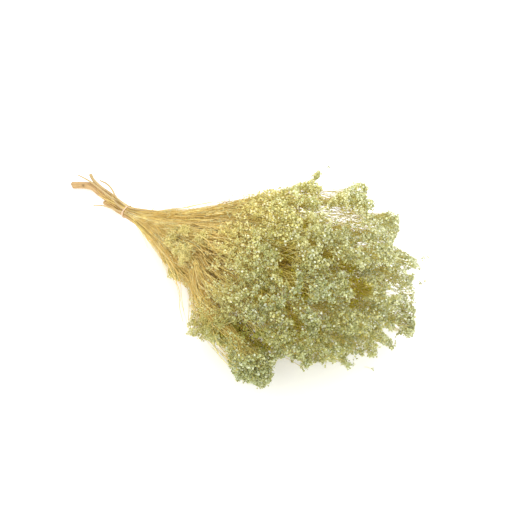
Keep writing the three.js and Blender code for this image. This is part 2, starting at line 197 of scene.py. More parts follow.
def tubes(bag, P, R, sides, tint, twist=0.0):
    """Closed tubes along P (N, M, 3) with radii R (N, M); tint (N, 3) or (N, M, 3)."""
    N, M, _ = P.shape
    T, N1, N2 = frames(P)
    ang = 2 * np.pi * np.arange(sides) / sides
    ang = ang[None, None, :] + rng.random(N)[:, None, None] * 6.28 + twist * np.arange(M)[None, :, None]
    co = P[:, :, None, :] + R[:, :, None, None] * (np.cos(ang)[..., None] * N1[:, :, None, :] + np.sin(ang)[..., None] * N2[:, :, None, :])
    base = (np.arange(N) * M * sides)[:, None, None]
    m = np.arange(M - 1)[None, :, None] * sides; k = np.arange(sides)[None, None, :]; k2 = (k + 1) % sides
    quad = np.stack(np.broadcast_arrays(base + m + k, base + m + k2, base + m + sides + k2, base + m + sides + k), -1)
    caps_t, caps_q = [], None
    b = (np.arange(N) * M * sides)[:, None]; e = b + (M - 1) * sides
    if sides == 3:
        caps_t = np.concatenate([b + np.array([[0, 2, 1]]), e + np.array([[0, 1, 2]])])
    elif sides == 4:
        caps_q = np.concatenate([b + np.array([[0, 3, 2, 1]]), e + np.array([[0, 1, 2, 3]])])
    else:
        t = []
        for j in range(1, sides - 1):
            t.append(b + np.array([[0, j + 1, j]])); t.append(e + np.array([[0, j, j + 1]]))
        caps_t = np.concatenate(t)
    quad = quad.reshape(-1, 4)
    if caps_q is not None:
        quad = np.concatenate([quad, caps_q])
    if tint.ndim == 2:
        tint = tint[:, None, :]
    tn = np.broadcast_to(tint[:, :, None, :], (N, M, sides, 3))
    bag.add(co, tri=np.asarray(caps_t, int) if len(caps_t) else None, quad=quad, tint=np.array(tn))


def spikes(bag, A, B, r, tint):
    """Thin closed three-sided stalks from A, where they are widest, to B."""
    N = len(A)
    T = unit(B - A)
    ref = np.where(np.abs(T[:, 2:3]) < 0.8, np.array([[0, 0, 1.0]]), np.array([[1.0, 0, 0]]))
    N1 = unit(np.cross(T, ref)); N2 = np.cross(T, N1)
    ang = (2 * np.pi * np.arange(3) / 3)[None] + rng.random(N)[:, None] * 6.28
    ring = A[:, None] + r[:, None, None] * (np.cos(ang)[..., None] * N1[:, None] + np.sin(ang)[..., None] * N2[:, None])
    co = np.concatenate([ring, (B + 0.1 * (B - A))[:, None]], 1)
    b = (np.arange(N) * 4)[:, None, None]
    tri = b + np.array([[0, 2, 1], [0, 1, 3], [1, 2, 3], [2, 0, 3]])[None]
    bag.add(co, tri=tri, tint=np.repeat(tint[:, None], 4, 1))


def florets(bag, C, D, size, tint, lobes=5, closed=0.0):
    """Small closed papery cups with pointed lobes, each one opening along D."""
    N = len(C)
    ref = unit(rng.normal(size=(N, 3)))
    N1 = unit(np.cross(D, ref)); N2 = np.cross(D, N1)
    k = np.arange(lobes)
    a_tip = 2 * np.pi * k / lobes; a_val = a_tip - np.pi / lobes
    n = 2 + 2 * lobes
    loc = np.zeros((N, n, 3))
    r_tip = 0.5 * (1 - 0.25 * rng.random((N, lobes))) * (1 - 0.35 * closed)
    z_tip = 0.30 + 0.22 * rng.random((N, lobes)) + 0.25 * closed
    r_val = 0.30 * (1 - 0.2 * rng.random((N, lobes)))
    z_val = 0.08 + 0.12 * rng.random((N, lobes)) + 0.15 * closed
    loc[:, 0, 2] = -0.42
    loc[:, 1, 2] = 0.10 + 0.1 * closed
    loc[:, 2:2 + lobes, 0] = r_tip * np.cos(a_tip); loc[:, 2:2 + lobes, 1] = r_tip * np.sin(a_tip); loc[:, 2:2 + lobes, 2] = z_tip
    loc[:, 2 + lobes:, 0] = r_val * np.cos(a_val); loc[:, 2 + lobes:, 1] = r_val * np.sin(a_val); loc[:, 2 + lobes:, 2] = z_val
    sz = size[:, None, None]
    co = C[:, None] + sz * (loc[..., 0:1] * N1[:, None] + loc[..., 1:2] * N2[:, None] + loc[..., 2:3] * D[:, None])
    t = []
    for j in range(lobes):
        tip, v0, v1 = 2 + j, 2 + lobes + j, 2 + lobes + (j + 1) % lobes
        t += [[0, tip, v0], [0, v1, tip], [1, v0, tip], [1, tip, v1]]
    tri = (np.arange(N) * n)[:, None, None] + np.array(t)[None]
    # painted shade at the bottom point and in the middle of each cup, painted light on the lobe tips
    shade = np.ones((N, n, 1)); shade[:, 0] = 0.80; shade[:, 1] = 0.90; shade[:, 2:2 + lobes] = 1.10
    bag.add(co, tri=tri, tint=tint[:, None] * shade)


def cups(bag, C, D, size, tint):
    """Half-open closed cups with five blunt corners round a sunken middle."""
    N = len(C)
    ref = unit(rng.normal(size=(N, 3)))
    N1 = unit(np.cross(D, ref)); N2 = np.cross(D, N1)
    a = 2 * np.pi * np.arange(5) / 5
    loc = np.zeros((N, 7, 3))
    r_ = 0.46 * (1 - 0.35 * rng.random((N, 5)))
    loc[:, 0, 2] = -0.42; loc[:, 1, 2] = 0.05
    loc[:, 2:, 0] = r_ * np.cos(a); loc[:, 2:, 1] = r_ * np.sin(a); loc[:, 2:, 2] = 0.12 + 0.34 * rng.random((N, 5))
    sz = size[:, None, None]
    co = C[:, None] + sz * (loc[..., 0:1] * N1[:, None] + loc[..., 1:2] * N2[:, None] + loc[..., 2:3] * D[:, None])
    t = []
    for j in range(5):
        p, q = 2 + j, 2 + (j + 1) % 5
        t += [[0, q, p], [1, p, q]]
    tri = (np.arange(N) * 7)[:, None, None] + np.array(t)[None]
    # painted shade at the bottom point and in the middle of each cup, painted light on the corners
    shade = np.ones((N, 7, 1)); shade[:, 0] = 0.80; shade[:, 1] = 0.88; shade[:, 2:] = 1.08
    bag.add(co, tri=tri, tint=tint[:, None] * shade)


def buds(bag, C, D, size, tint):
    """Closed eight-faced buds for florets that have not opened."""
    N = len(C)
    ref = unit(rng.normal(size=(N, 3)))
    N1 = unit(np.cross(D, ref)); N2 = np.cross(D, N1)
    loc = np.array([[0, 0, -0.5], [0.32, 0, 0.05], [0, 0.32, 0.12], [-0.32, 0, 0.05], [0, -0.32, 0.12], [0, 0, 0.45]])
    sz = size[:, None, None]
    co = C[:, None] + sz * (loc[None, :, 0:1] * N1[:, None] + loc[None, :, 1:2] * N2[:, None] + loc[None, :, 2:3] * D[:, None])
    tri = np.array([[0, 2, 1], [0, 3, 2], [0, 4, 3], [0, 1, 4], [5, 1, 2], [5, 2, 3], [5, 3, 4], [5, 4, 1]])
    tri = (np.arange(N) * 6)[:, None, None] + tri[None]
    bag.add(co, tri=tri, tint=np.repeat(tint[:, None], 6, 1))


# ------------------------------------------------------------- view of the bunch
AZ, EL = math.radians(36.5), math.radians(48.0)
RIGHT = np.array([math.cos(AZ), math.sin(AZ), 0.0])
BACK = np.array([math.sin(AZ) * math.cos(EL), -math.cos(AZ) * math.cos(EL), math.sin(EL)])
UP = np.cross(BACK, RIGHT)
TARGET = np.array([207.65, 1.23, 48.0])


def in_view(p):
    """Place on the plane across the line of sight, in mm at 1 m, and the distance."""
    c = p - (TARGET + 1000.0 * BACK)
    z = -(c @ BACK)
    return np.stack([c @ RIGHT, c @ UP], -1) * (1000.0 / z[..., None]), z


# outline of the bloom, and the thin places in it, on that plane
OUTLINE = np.array([
    (73, 101), (77, 95), (69, 87), (79, 81), (75, 73), (80, 63), (117, 86), (124, 86), (131, 81), (130, 68),
    (139, 62), (136, 49), (143, 48), (162, 54), (168, 48), (168, 30), (159, 14), (189, -5), (196, -16), (182, -15),
    (186, -23), (183, -34), (186, -47), (186, -91), (183, -101), (169, -91), (161, -110), (143, -100), (142, -104),
    (150, -109), (142, -110), (142, -120), (125, -121), (122, -127), (127, -130), (111, -129), (108, -135),
    (104, -128), (96, -125), (90, -130), (86, -123), (82, -124), (82, -135), (73, -125), (67, -125), (57, -135),
    (53, -135), (52, -122), (46, -121), (41, -125), (38, -118), (27, -121), (20, -128), (21, -143), (8, -157),
    (4, -157), (-2, -150), (-21, -148), (-24.6, -144), (-33.4, -124), (-34.6, -114), (-37.5, -104), (-55, -101),
    (-70, -97), (-81, -91), (-81, -82), (-78.5, -71.5), (-75, -63), (-74.4, -51.6), (-76, -41), (-84.4, -36.3),
    (-93.7, -32.8), (-103, -27), (-110, -5), (-127, 12), (-141, 35), (-150, 56), (-93, 57), (-29, 67),
    (-21, 71), (8, 76), (9, 80), (20, 80), (26, 85), (30, 81), (36, 81), (68, 91), (68, 97)], float)
OPEN = [
    (80.9, 51.6, 2.9), (89.1, 48.0, 3.5), (98.4, 49.2, 2.9), (83.2, 39.8, 2.6), (91.4, 32.8, 3.5), (99.6, 37.5, 2.9),
    (77.3, 58.6, 3.5), (93.8, 56.2, 2.9), (112.5, 31.6, 3.5), (123.0, 31.6, 3.5), (128.9, 34.0, 2.9), (132.4, 51.6, 2.9),
    (114.8, 10.5, 2.9), (126.6, 12.9, 3.5), (155.9, -43.4, 5.3), (164.1, -42.2, 3.5), (171.1, -12.9, 2.9),
    (179.3, -18.8, 3.5), (150.0, -86.7, 3.5), (159.4, -92.6, 4.7), (166.4, -84.4, 2.9), (110.2, -118.4, 4.7),
    (119.5, -117.2, 3.5), (128.9, -112.5, 2.9), (189.8, -7.0, 2.9), (189.8, -28.1, 2.9)]
# hollows between the heads: where each one starts at the outside, radius, depth
HOLLOWS = [
    (263, -20, 124, 5.3, 28), (276, -27, 127, 6.3, 34), (277, -38, 126, 7.3, 38), (280, -49, 125, 7.3, 40),
    (292, -57, 126, 8.2, 40), (301, -63, 125, 5.1, 30), (315, -58, 123, 6.1, 34), (318, -65, 119, 4.1, 30),
    (281, -84, 113, 5.1, 26), (276, -90, 108, 3.1, 20), (310, -83, 115, 6.1, 34), (317, -87, 111, 6.1, 34),
    (324, -90, 106, 4.0, 26), (269, 9, 127, 4.3, 22), (260, 20, 123, 3.3, 18), (239, -22, 115, 4.3, 20),
    (330, -12, 125, 5.2, 28), (336, -8, 123, 5.2, 28), (352, -18, 114, 8.3, 36), (360, -14, 110, 6.2, 32),
    (358, -29, 109, 5.1, 30), (359, -36, 106, 4.1, 24), (258, -116, 78, 5.2, 18), (273, -119, 84, 5.2, 20),
    (288, -121, 88, 5.1, 20), (302, -123, 92, 6.1, 22), (312, -120, 89, 4.0, 18), (254, -121, 68, 5.3, 18),
    (309, -15, 131, 6.3, 18), (291, -13, 134, 5.2, 18), (238, 43, 112, 3.4, 14), (242, 29, 116, 3.3, 14),
    (330, -89, 105, 6.1, 24)]
HOLLOW_AT = [(in_view(np.array([h[:3]], float)), h[3], h[4]) for h in HOLLOWS]


# zones where the florets are few and the strands show: centre, half axes, turn, share left out
THIN = [(106.5, 46.0, 31, 15, -12, 0.88), (125.0, 33.0, 20, 7, -8, 0.55), (-31.0, 62.0, 30, 9, 12, 0.5),
        ]
BARE = [(-19.0, -105.0, 27, 12.5, -32, 0.93), (-38.0, -98.0, 9, 6, -30, 0.8)]     # the same, near the front only
# zones in shade: centre, half axes, turn, strength
DARK = [(-10.0, -88.0, 36, 13, -18, 0.85), (-47.0, -80.0, 34, 20, -10, 0.66), (2.0, -104.0, 22, 10, -30, 0.5),
        (16.0, 8.0, 14, 16, 0, 0.25), (60.0, -95.0, 60, 22, 0, 0.24)]


def zones(xy, table):
    out = np.zeros(len(xy))
    for x, y, a, b, turn, share in table:
        c_, s_ = math.cos(math.radians(turn)), math.sin(math.radians(turn))
        u = ((xy[:, 0] - x) * c_ + (xy[:, 1] - y) * s_) / a; v = (-(xy[:, 0] - x) * s_ + (xy[:, 1] - y) * c_) / b
        out = np.maximum(out, share * np.clip(1.8 * (1 - np.hypot(u, v)), 0, 1))
    return out


def thin(xy):
    return zones(xy, THIN)


def inside(xy):
    """Distance in from the outline, in mm; negative outside it."""
    A = OUTLINE; B = np.roll(OUTLINE, -1, 0)
    best = np.full(len(xy), 1e9); cross = np.zeros(len(xy), int)
    for a_, b_ in zip(A, B):
        d = b_ - a_; r = xy - a_
        t = np.clip((r @ d) / (d @ d), 0, 1)
        best = np.minimum(best, np.hypot(*(r - t[:, None] * d).T))
        up = (a_[1] > xy[:, 1]) != (b_[1] > xy[:, 1])
        with np.errstate(divide="ignore", invalid="ignore"):
            xc = a_[0] + (xy[:, 1] - a_[1]) / (b_[1] - a_[1]) * d[0] if b_[1] != a_[1] else np.full(len(xy), -1e9)
        cross += (up & (xy[:, 0] < xc)).astype(int)
    return np.where(cross % 2 == 1, best, -best)


def in_open(xy, grow=1.0):
    bad = np.zeros(len(xy), bool)
    for x, y, r in OPEN:
        bad |= np.hypot(xy[:, 0] - x, xy[:, 1] - y) < r * grow
    return bad


def hollow(xy, z):
    """How far into a hollow: (in its clear part, share of its shade)."""
    clear = np.zeros(len(xy), bool); shade = np.zeros(len(xy))
    for (c, z0), r, dep in HOLLOW_AT:
        d = np.hypot(xy[:, 0] - c[0, 0], xy[:, 1] - c[0, 1]) / (r * 1000.0 / z0[0])
        deep = z - z0[0]
        clear |= (d < 1.0) & (deep > -18) & (deep < dep)
        shade = np.maximum(shade, np.clip((1.75 - d) / 0.9, 0, 1) * np.clip((deep + 2) / 10.0, 0, 1))
    return clear, shade


# where the bloom starts along the fan, round the axis (degrees)
START_A = [-180, -135, -90, -45, 0, 30, 51, 63, 77, 97, 109, 118, 127, 137, 148, 155, 167, 180]
START_S = [190, 182, 175, 165, 156, 150, 152, 172, 185, 198, 207, 218, 225, 234, 234, 221, 202, 190]


# ------------------------------------------------------------- bloom placement
def q_of(p):
    s = p @ AX; g = trumpet(s)
    return np.stack([(p @ AY - lean(s)) / g, p @ AW / (flat(s) * g)], -1), s


def s_end(q):
    return 401 - 96 * np.minimum(q, 1.3) ** 2.2


heads = [(above_floor(at_q(s, a, b), 6.0), r, t, s) for s, a, b, r, t in HEADS]
N_SEEN = len(heads)
cc = np.array([h[0] for h in heads]); rr = np.array([h[1] for h in heads])
TAIL = 14                                     # the head that hangs off to one side
TUFTS = (38, 39, 50, 51, 52, 53)                              # loose tufts low on the straw

# fill the rest of the head: outer layer first, then the inside
for layer, (lo, hi, rad, tries, near) in enumerate([(0.62, 0.98, (12.0, 17), 9000, 0.70), (0.25, 0.62, (15, 19), 2500, 0.86), (0.0, 0.30, (15, 19), 700, 0.90)]):
    for _ in range(tries):
        s = rng.uniform(170, 396)
        qr = math.sqrt(rng.uniform(lo * lo, hi * hi)); an = rng.uniform(-math.pi, math.pi)
        r = rng.uniform(*rad)
        g_ = float(trumpet(s))
        lim = 1 - 0.72 * r / (g_ * math.hypot(math.cos(an), FLATNESS * math.sin(an)))
        if layer == 0 and not (lim - 0.10 < qr < lim) and not (s > s_end(qr) - 34 and qr < lim):
            continue
        if s > s_end(qr) - 0.75 * r or s < np.interp(math.degrees(an), START_A, START_S) + 8 + layer * 22:
            continue
        c = above_floor(at_q(s, qr * math.cos(an), qr * math.sin(an)), 9.0)
        if np.any(np.linalg.norm((cc - c) * np.array([0.8, 1, 1]), axis=1) < near * (rr + r)):
            continue
        xy, z = in_view(c[None])
        if inside(xy)[0] < 0.5 * r or in_open(xy, 2.2)[0]:
            continue
        heads.append((c, r, rng.random() * 0.7 + 0.1, s))
        cc = np.vstack([cc, c]); rr = np.append(rr, r)

# ------------------------------------------------------------------- strands
tips, tip_head = [], []
for i, (c, r, t, s) in enumerate(heads):
    out = c - (c @ AX) * AX
    out = unit(0.75 * unit(out) + 0.65 * AX)
    n = int(round((9.0 if i < N_SEEN else 7.0) * (r / 16.0) ** 2)) if r > 9 else max(2, int(round(r * 0.55)))
    if i == TAIL:
        n = 34
    loose = 1.0
    if i in TUFTS:
        n, loose = 13, 1.75
    got = 0
    for _ in range(8 * n):
        v = rng.normal(size=3); v /= np.linalg.norm(v)
        if v @ out < -0.2:
            v -= 2 * (v @ out) * out
        p = above_floor(c + v * r * loose * (0.25 + 0.6 * rng.random()) * np.array([1.15, 1, 1]), 5.0)
        xy, z = in_view(p[None])
        if inside(xy)[0] < 1.0 or in_open(xy, 1.2)[0] or p[2] - FLOOR > 163 or hollow(xy, z)[0][0]:
            continue
        tips.append(p); tip_head.append(i); got += 1
        if got == n:
            break
tips = np.array(tips); tip_head = np.array(tip_head)
N1 = len(tips)
q_tip, s_tip = q_of(tips)


def swirl(n, M, S, amp, wl):
    """Gentle sideways drift of each strand, nothing at its two ends."""
    dy = np.zeros((n, M)); dw = np.zeros((n, M))
    x = (S - S[:, :1]) / (S[:, -1:] - S[:, :1])
    env = amp * np.sin(np.pi * np.clip(x, 0, 1)) ** 0.6
    for k_ in range(2):
        ph = rng.random((n, 2)) * 6.28; L = rng.uniform(*wl, (n, 1))
        dy += 0.6 * env * np.sin(2 * np.pi * S / L + ph[:, :1]); dw += 0.5 * env * np.sin(2 * np.pi * S / L + ph[:, 1:])
    return dy, dw


def strand_paths(s0, q0, s_t, q_t, M, amp, settle, expo):
    n = len(s_t)
    u = np.linspace(0, 1, M)[None, :] ** 1.1
    S = s0[:, None] + (s_t - s0)[:, None] * u
    x = np.minimum(1, (S - s0[:, None]) / (settle * (s_t - s0)[:, None]))
    E = 1 - (1 - x) ** expo
    lim = np.minimum(1.0, 0.985 / np.maximum(1e-6, np.linalg.norm(q_t, axis=1)))[:, None]
    late = np.clip((S - s_t[:, None] + 55) / 55, 0, 1)
    grow = lim + (1 - lim) * late ** 2
    q1 = q0[:, :1] + (q_t[:, :1] * grow - q0[:, :1]) * E
    q2 = q0[:, 1:] + (q_t[:, 1:] * grow - q0[:, 1:]) * E
    gg = trumpet(S)
    q1 = q1 * (1 - np.interp(S, [118, 130, 140, 150, 162, 172, 182, 192, 200], [0, 0.04, 0.11, 0.18, 0.22, 0.19, 0.13, 0.04, 0]) * np.clip((-q1 - 0.3) / 0.5, 0, 1))
    dy, dw = swirl(n, M, S, 0.8 * amp[:, None] * np.minimum(1, 0.16 + S / 85.0), (55, 160))
    return above_floor(at(S, gg * q1 + dy, flat(S) * gg * q2 + dw), 3.0)


def neck_places(n):
    """Random places between the stems at the neck."""
    out = []
    while len(out) < n:
        k_ = rng.integers(len(STEMS)); a_ = rng.random() * 6.28
        p = NECKS[k_] + np.array([math.cos(a_), math.sin(a_)]) * RADII[k_] * 0.9 * math.sqrt(rng.random())
        j_ = rng.integers(len(STEMS)); f_ = 0.5 * rng.random()
        out.append(p * (1 - f_) + NECKS[j_] * f_)
    return np.array(out)


# strands that run all the way from the neck
NE = 330
order = rng.permutation(N1)
first = order[:NE]
own1 = np.zeros(N1, int)
own1[first] = owner(q_tip[first])
qn = neck_places(NE) / NECK_HALF
qn = 0.62 * qn + 0.38 * (NECKS[own1[first]] / NECK_HALF)
M1 = 13
path1 = np.zeros((N1, M1, 3))
path1[first] = strand_paths(np.full(NE, -1.0), qn, s_tip[first], q_tip[first], M1, rng.uniform(2.5, 7.5, NE), 0.62, 1.9)


def fork(s_t, q_t, s_from, pool, pool_paths, pool_own, M, amp, expo=1.7):
    """Strands that branch off a strand of the pool at s_from."""
    n = len(s_t)
    q_pool = q_of(pool_paths[:, -1])[0]
    start_q = np.zeros((n, 2)); own_ = np.zeros(n, int); s0 = s_from.copy()
    for j_ in range(n):
        cand = rng.integers(len(pool), size=26)
        d = np.linalg.norm(q_pool[cand] - q_t[j_], axis=1) + 0.12 * rng.random(26)
        c_ = cand[d.argmin()]
        P_ = pool_paths[c_]
        sp = P_ @ AX
        s0[j_] = min(s0[j_], sp[-1] - 15)
        pt = np.array([np.interp(s0[j_], sp, P_[:, a_]) for a_ in range(3)])
        start_q[j_] = q_of(pt[None])[0][0]; own_[j_] = pool_own[c_]
    return strand_paths(s0, start_q, s_t, q_t, M, amp, 0.85, expo), own_


rest = order[NE:]
s_from = 5 + (0.62 * s_tip[rest]) * rng.random(len(rest)) ** 1.35
path1[rest], own1[rest] = fork(s_tip[rest], q_tip[rest], s_from, first, path1[first], own1[first], M1, rng.uniform(2.0, 7.0, len(rest)))
path1[:, -1] = tips

# the head on one side hangs from strands that leave the bunch together
tail = np.nonzero(tip_head == TAIL)[0]
F = np.array([261.0, -127.0, 76.0]); F_DIR = unit(np.array([0.88, -0.30, -0.18]))
nt_ = len(tail)
fq, fs = q_of(F[None])
fq = fq * 0.93
pt_, _ = fork(np.full(nt_, fs[0]), np.repeat(fq, nt_, 0) + rng.normal(size=(nt_, 2)) * 0.022, 20 + 120 * rng.random(nt_), first, path1[first], own1[first], M1 - 4, np.full(nt_, 3.0), 0.85)
for j_, i in enumerate(tail):
    a_ = pt_[j_, -1]; b_ = tips[i]; L = np.linalg.norm(b_ - a_)
    h1 = a_ + F_DIR * L * 0.42; h2 = b_ - unit(b_ - a_ + np.array([0, 0, -12.0])) * L * 0.3
    f = (np.arange(1, 5) / 4.0)[:, None]
    bz = (1 - f) ** 3 * a_ + 3 * (1 - f) ** 2 * f * h1 + 3 * (1 - f) * f ** 2 * h2 + f ** 3 * b_
    path1[i] = np.vstack([pt_[j_], bz])
own1[tail] = 1


def straw_tint(n, pale=0.0):
    a = np.array([0.930, 0.720, 0.255]); b = np.array([0.760, 0.520, 0.135]); c = np.array([0.985, 0.880, 0.500])
    k = rng.random((n, 1))
    col = np.where(k < 0.22, b + (a - b) * (k / 0.22), np.where(k > 0.66, a + (c - a) * ((k - 0.66) / 0.34), a))
    return np.minimum(1.0, col * (0.91 + 0.20 * rng.random((n, 1))) * (1 + pale))


def along(path, d):
    """Point and direction at arc distance d (n, k) back from each path's end."""
    seg = np.linalg.norm(np.diff(path, axis=1), axis=2)
    back = np.concatenate([np.cumsum(seg[:, ::-1], 1)[:, ::-1], np.zeros((len(path), 1))], 1)
    n, k = d.shape
    pos = np.empty((n, k, 3)); dr = np.empty((n, k, 3))
    for j in range(k):
        idx = np.clip((back > d[:, j:j + 1]).sum(1) - 1, 0, path.shape[1] - 2)
        r_ = np.arange(n)
        b0, b1 = back[r_, idx], back[r_, idx + 1]
        f = ((b0 - d[:, j]) / np.maximum(b0 - b1, 1e-6))[:, None]
        pos[:, j] = path[r_, idx] * (1 - f) + path[r_, idx + 1] * f
        dr[:, j] = unit(path[r_, idx + 1] - path[r_, idx])
    return pos, dr


# side branches of each strand
K2 = 9
small = rr[tip_head] < 9
d2 = np.array([0.0, 3.5, 8, 13, 19, 26, 34, 43, 53])[None] * rng.uniform(0.85, 1.15, (N1, 1)) + rng.uniform(-1, 1, (N1, K2)) * 1.5
d2 = np.maximum(0, d2) * np.where(small | (tip_head == TAIL), 0.5, 1.0)[:, None]
p2, t2 = along(path1, d2)
radial = unit(p2 - (p2 @ AX)[..., None] * AX)
al = np.radians(rng.uniform(20, 44, (N1, K2, 1))); al[:, 0] *= 0.3
sidev = rng.normal(size=(N1, K2, 3)) + 0.55 * radial
sidev -= (sidev * t2).sum(-1, keepdims=True) * t2
sidev = unit(sidev)
dir2 = unit(np.cos(al) * t2 + np.sin(al) * sidev)
len2 = (6.5 + 0.34 * d2 + rng.uniform(-1.5, 3.0, (N1, K2)))
len2 = np.minimum(len2, 25) * np.where(small, 0.6, 1.0)[:, None]
len2[:, 0] = 3.0
end2 = p2 + dir2 * len2[..., None] + t2 * (0.12 * len2[..., None])
flat_end = end2.reshape(-1, 3)
xy2, z2 = in_view(flat_end)
in2 = inside(xy2)
clear2, _ = hollow(xy2, z2)
keep2 = ((in2 > rng.uniform(-1.0, 1.5, len(in2))) & ~in_open(xy2) & ~clear2).reshape(N1, K2)
qe, se = q_of(flat_end)
start = np.interp(np.degrees(np.arctan2(qe[:, 1], qe[:, 0])), START_A, START_S)
chance = (np.clip((se - start + 40) / 74.0, 0.0, 1.0) ** 1.4).reshape(N1, K2)
chance = np.where(small[:, None], 1.0, np.maximum(chance, 0.05 * (se.reshape(N1, K2) > 90)))
keep2 &= rng.random((N1, K2)) < chance
keep2 &= rng.random((N1, K2)) > 0.6 * thin(xy2).reshape(N1, K2)
keep2 &= (end2[..., 2] - FLOOR) < 166
keep2[small, 5:] = False
I2, J2 = np.nonzero(keep2)
own2, head2 = own1[I2], tip_head[I2]
A2, B2, D2, Tn2 = p2[keep2], above_floor(end2[keep2], 3.5), dir2[keep2], t2[keep2]
N2 = len(A2)
mid2 = A2 + (B2 - A2) * 0.5 + D2 * 0.08 * np.linalg.norm(B2 - A2, axis=1, keepdims=True)
path2 = np.stack([A2, mid2, B2], 1)

# florets at the ends of the side branches
K3 = 9
fd = unit(B2 - mid2)
v = rng.normal(size=(N2, K3, 3))
v -= (v * fd[:, None]).sum(-1, keepdims=True) * fd[:, None]
v = unit(v)
be = np.radians(rng.uniform(8, 64, (N2, K3, 1)))
dir3 = unit(np.cos(be) * fd[:, None] + np.sin(be) * v)
len3 = rng.uniform(2.0, 5.6, (N2, K3))
back3 = rng.uniform(0, 4.2, (N2, K3))
A3 = B2[:, None] - fd[:, None] * back3[..., None]
B3 = A3 + dir3 * len3[..., None]
i3 = np.repeat(np.arange(N2)[:, None], K3, 1).ravel()
A3, B3, dir3 = A3.reshape(-1, 3), B3.reshape(-1, 3), dir3.reshape(-1, 3)
xy3, z3 = in_view(B3)
notch = 2.4 * np.clip(np.sin(xy3[:, 0] * 0.9 + 1.7 * np.sin(xy3[:, 1] * 0.31)) * np.sin(xy3[:, 1] * 0.8 + 1.1), 0, 1)
ok3 = (inside(xy3) > rng.uniform(-1.2, 0.8, len(B3)) + notch) & ~in_open(xy3, 0.85) & (rng.random(len(B3)) > thin(xy3))
A3, B3, dir3, i3, xy3, z3 = A3[ok3], above_floor(B3[ok3], 2.2), dir3[ok3], i3[ok3], xy3[ok3], z3[ok3]

def clumps(P, c):
    """Irregular clumps about c across: distance to the nearest two clump centres, and a random tag."""
    g = np.floor(P / c).astype(np.int64)
    d1 = np.full(len(P), 1e9); d2 = np.full(len(P), 1e9); tag = np.zeros(len(P))
    for n_ in range(27):
        h = g + np.array([n_ % 3 - 1, n_ // 3 % 3 - 1, n_ // 9 - 1])
        k_ = np.abs((h[:, 0] * 73856093) ^ (h[:, 1] * 19349663) ^ (h[:, 2] * 83492791))
        j_ = np.stack([(k_ % 997) / 997, (k_ // 7 % 1009) / 1009, (k_ // 53 % 1013) / 1013], -1)
        d = np.linalg.norm(P - (h + 0.5 + 0.8 * (j_ - 0.5)) * c, axis=1)
        near = d < d1
        d2 = np.where(near, d1, np.minimum(d2, d)); tag = np.where(near, j_[:, 0], tag); d1 = np.where(near, d, d1)
    return d1, d2, tag


# how deep each floret lies behind the outermost ones, seen from all round
deep = np.full(len(B3), 1e9)
dirs = [BACK]
for k_ in range(15):
    z_ = 0.10 + 0.88 * k_ / 14; a_ = k_ * 2.399963
    dirs.append(np.array([math.cos(a_) * math.sqrt(1 - z_ * z_), math.sin(a_) * math.sqrt(1 - z_ * z_), z_]))
for d_ in dirs:
    e1 = unit(np.cross(d_, [0.0, 0.0, 1.0]) if abs(d_[2]) < 0.95 else np.array([1.0, 0, 0])); e2 = np.cross(d_, e1)
    gx = ((B3 @ e1 + 600) / 5.5).astype(int); gy = ((B3 @ e2 + 600) / 5.5).astype(int)
    key = gx * 256 + gy; h_ = B3 @ d_
    front = np.full(256 * 256, -1e9); np.maximum.at(front, key, h_)
    deep = np.minimum(deep, front[key] - h_)
rnd = rng.random(len(B3))
cell = ((xy3[:, 0] + 300) / 6).astype(int) * 128 + ((xy3[:, 1] + 300) / 6).astype(int)
near_ = np.full(128 * 128, 1e9); np.minimum.at(near_, cell, z3)
off_ = (rng.random(len(B3)) < zones(xy3, BARE)) & (z3 - near_[cell] < 15)
cd1, cd2, ctag = clumps(B3, 11.0)
# mask for painted shade in the gaps between clumps and painted light on the clump tops
clump_gap_shade = np.clip(1 - (cd2 - cd1) / 2.9, 0, 1)
lv = np.sort(deep)[[min(37000, int(0.6 * len(deep))), min(60000, int(0.85 * len(deep)))]]
kind = np.where(deep < lv[0], 2, np.where(deep < lv[1], 1, 0))    # open, half open, bud
keep3 = (kind == 2) | ((kind == 1) & (rnd < 0.50)) | (rnd < 0.20)
keep3 &= ~off_
A3, B3, dir3, i3, xy3, z3, deep, kind, clump_gap_shade, ctag = (x[keep3] for x in (A3, B3, dir3, i3, xy3, z3, deep, kind, clump_gap_shade, ctag))
_, shade3 = hollow(xy3, z3)
own3, head3 = own2[i3], head2[i3]
N3 = len(A3)
used2 = np.zeros(N2, bool); used2[i3] = True
shown2 = np.zeros(N2, bool); shown2[i3[kind == 2]] = True

tone = np.array([h[2] for h in heads])[head3]
tone = np.clip(tone + rng.normal(size=N3) * 0.15 + 0.35 * (ctag - 0.5), 0, 1)[:, None]
yel = np.array([0.805, 0.765, 0.385]); sage = np.array([0.650, 0.700, 0.430])
cream = np.array([0.925, 0.935, 0.790]); olive = np.array([0.570, 0.475, 0.015])
f_tint = yel + (sage - yel) * tone
s_pos, y_pos = (B3 @ AX)[:, None], (B3 @ AY)[:, None]
paler = np.clip((s_pos - 240) / 110, 0, 1) * np.clip((y_pos + 50) / 110, 0, 1)
f_tint = f_tint + (np.array([0.770, 0.785, 0.560]) - f_tint) * 0.60 * paler
k = rng.random((N3, 1))
f_tint = np.where(k < 0.19, f_tint + (cream - f_tint) * 0.85, f_tint)
f_tint = np.where(k > 0.92, f_tint + (olive - f_tint) * 0.5, f_tint)
# painted shade: florets deep in the head or in a hollow are tinted dark olive
inner = np.clip(deep[:, None] / 28.0, 0, 1) ** 0.9
inner = np.maximum(inner, shade3[:, None])
f_tint = f_tint + (olive - f_tint) * 0.95 * inner
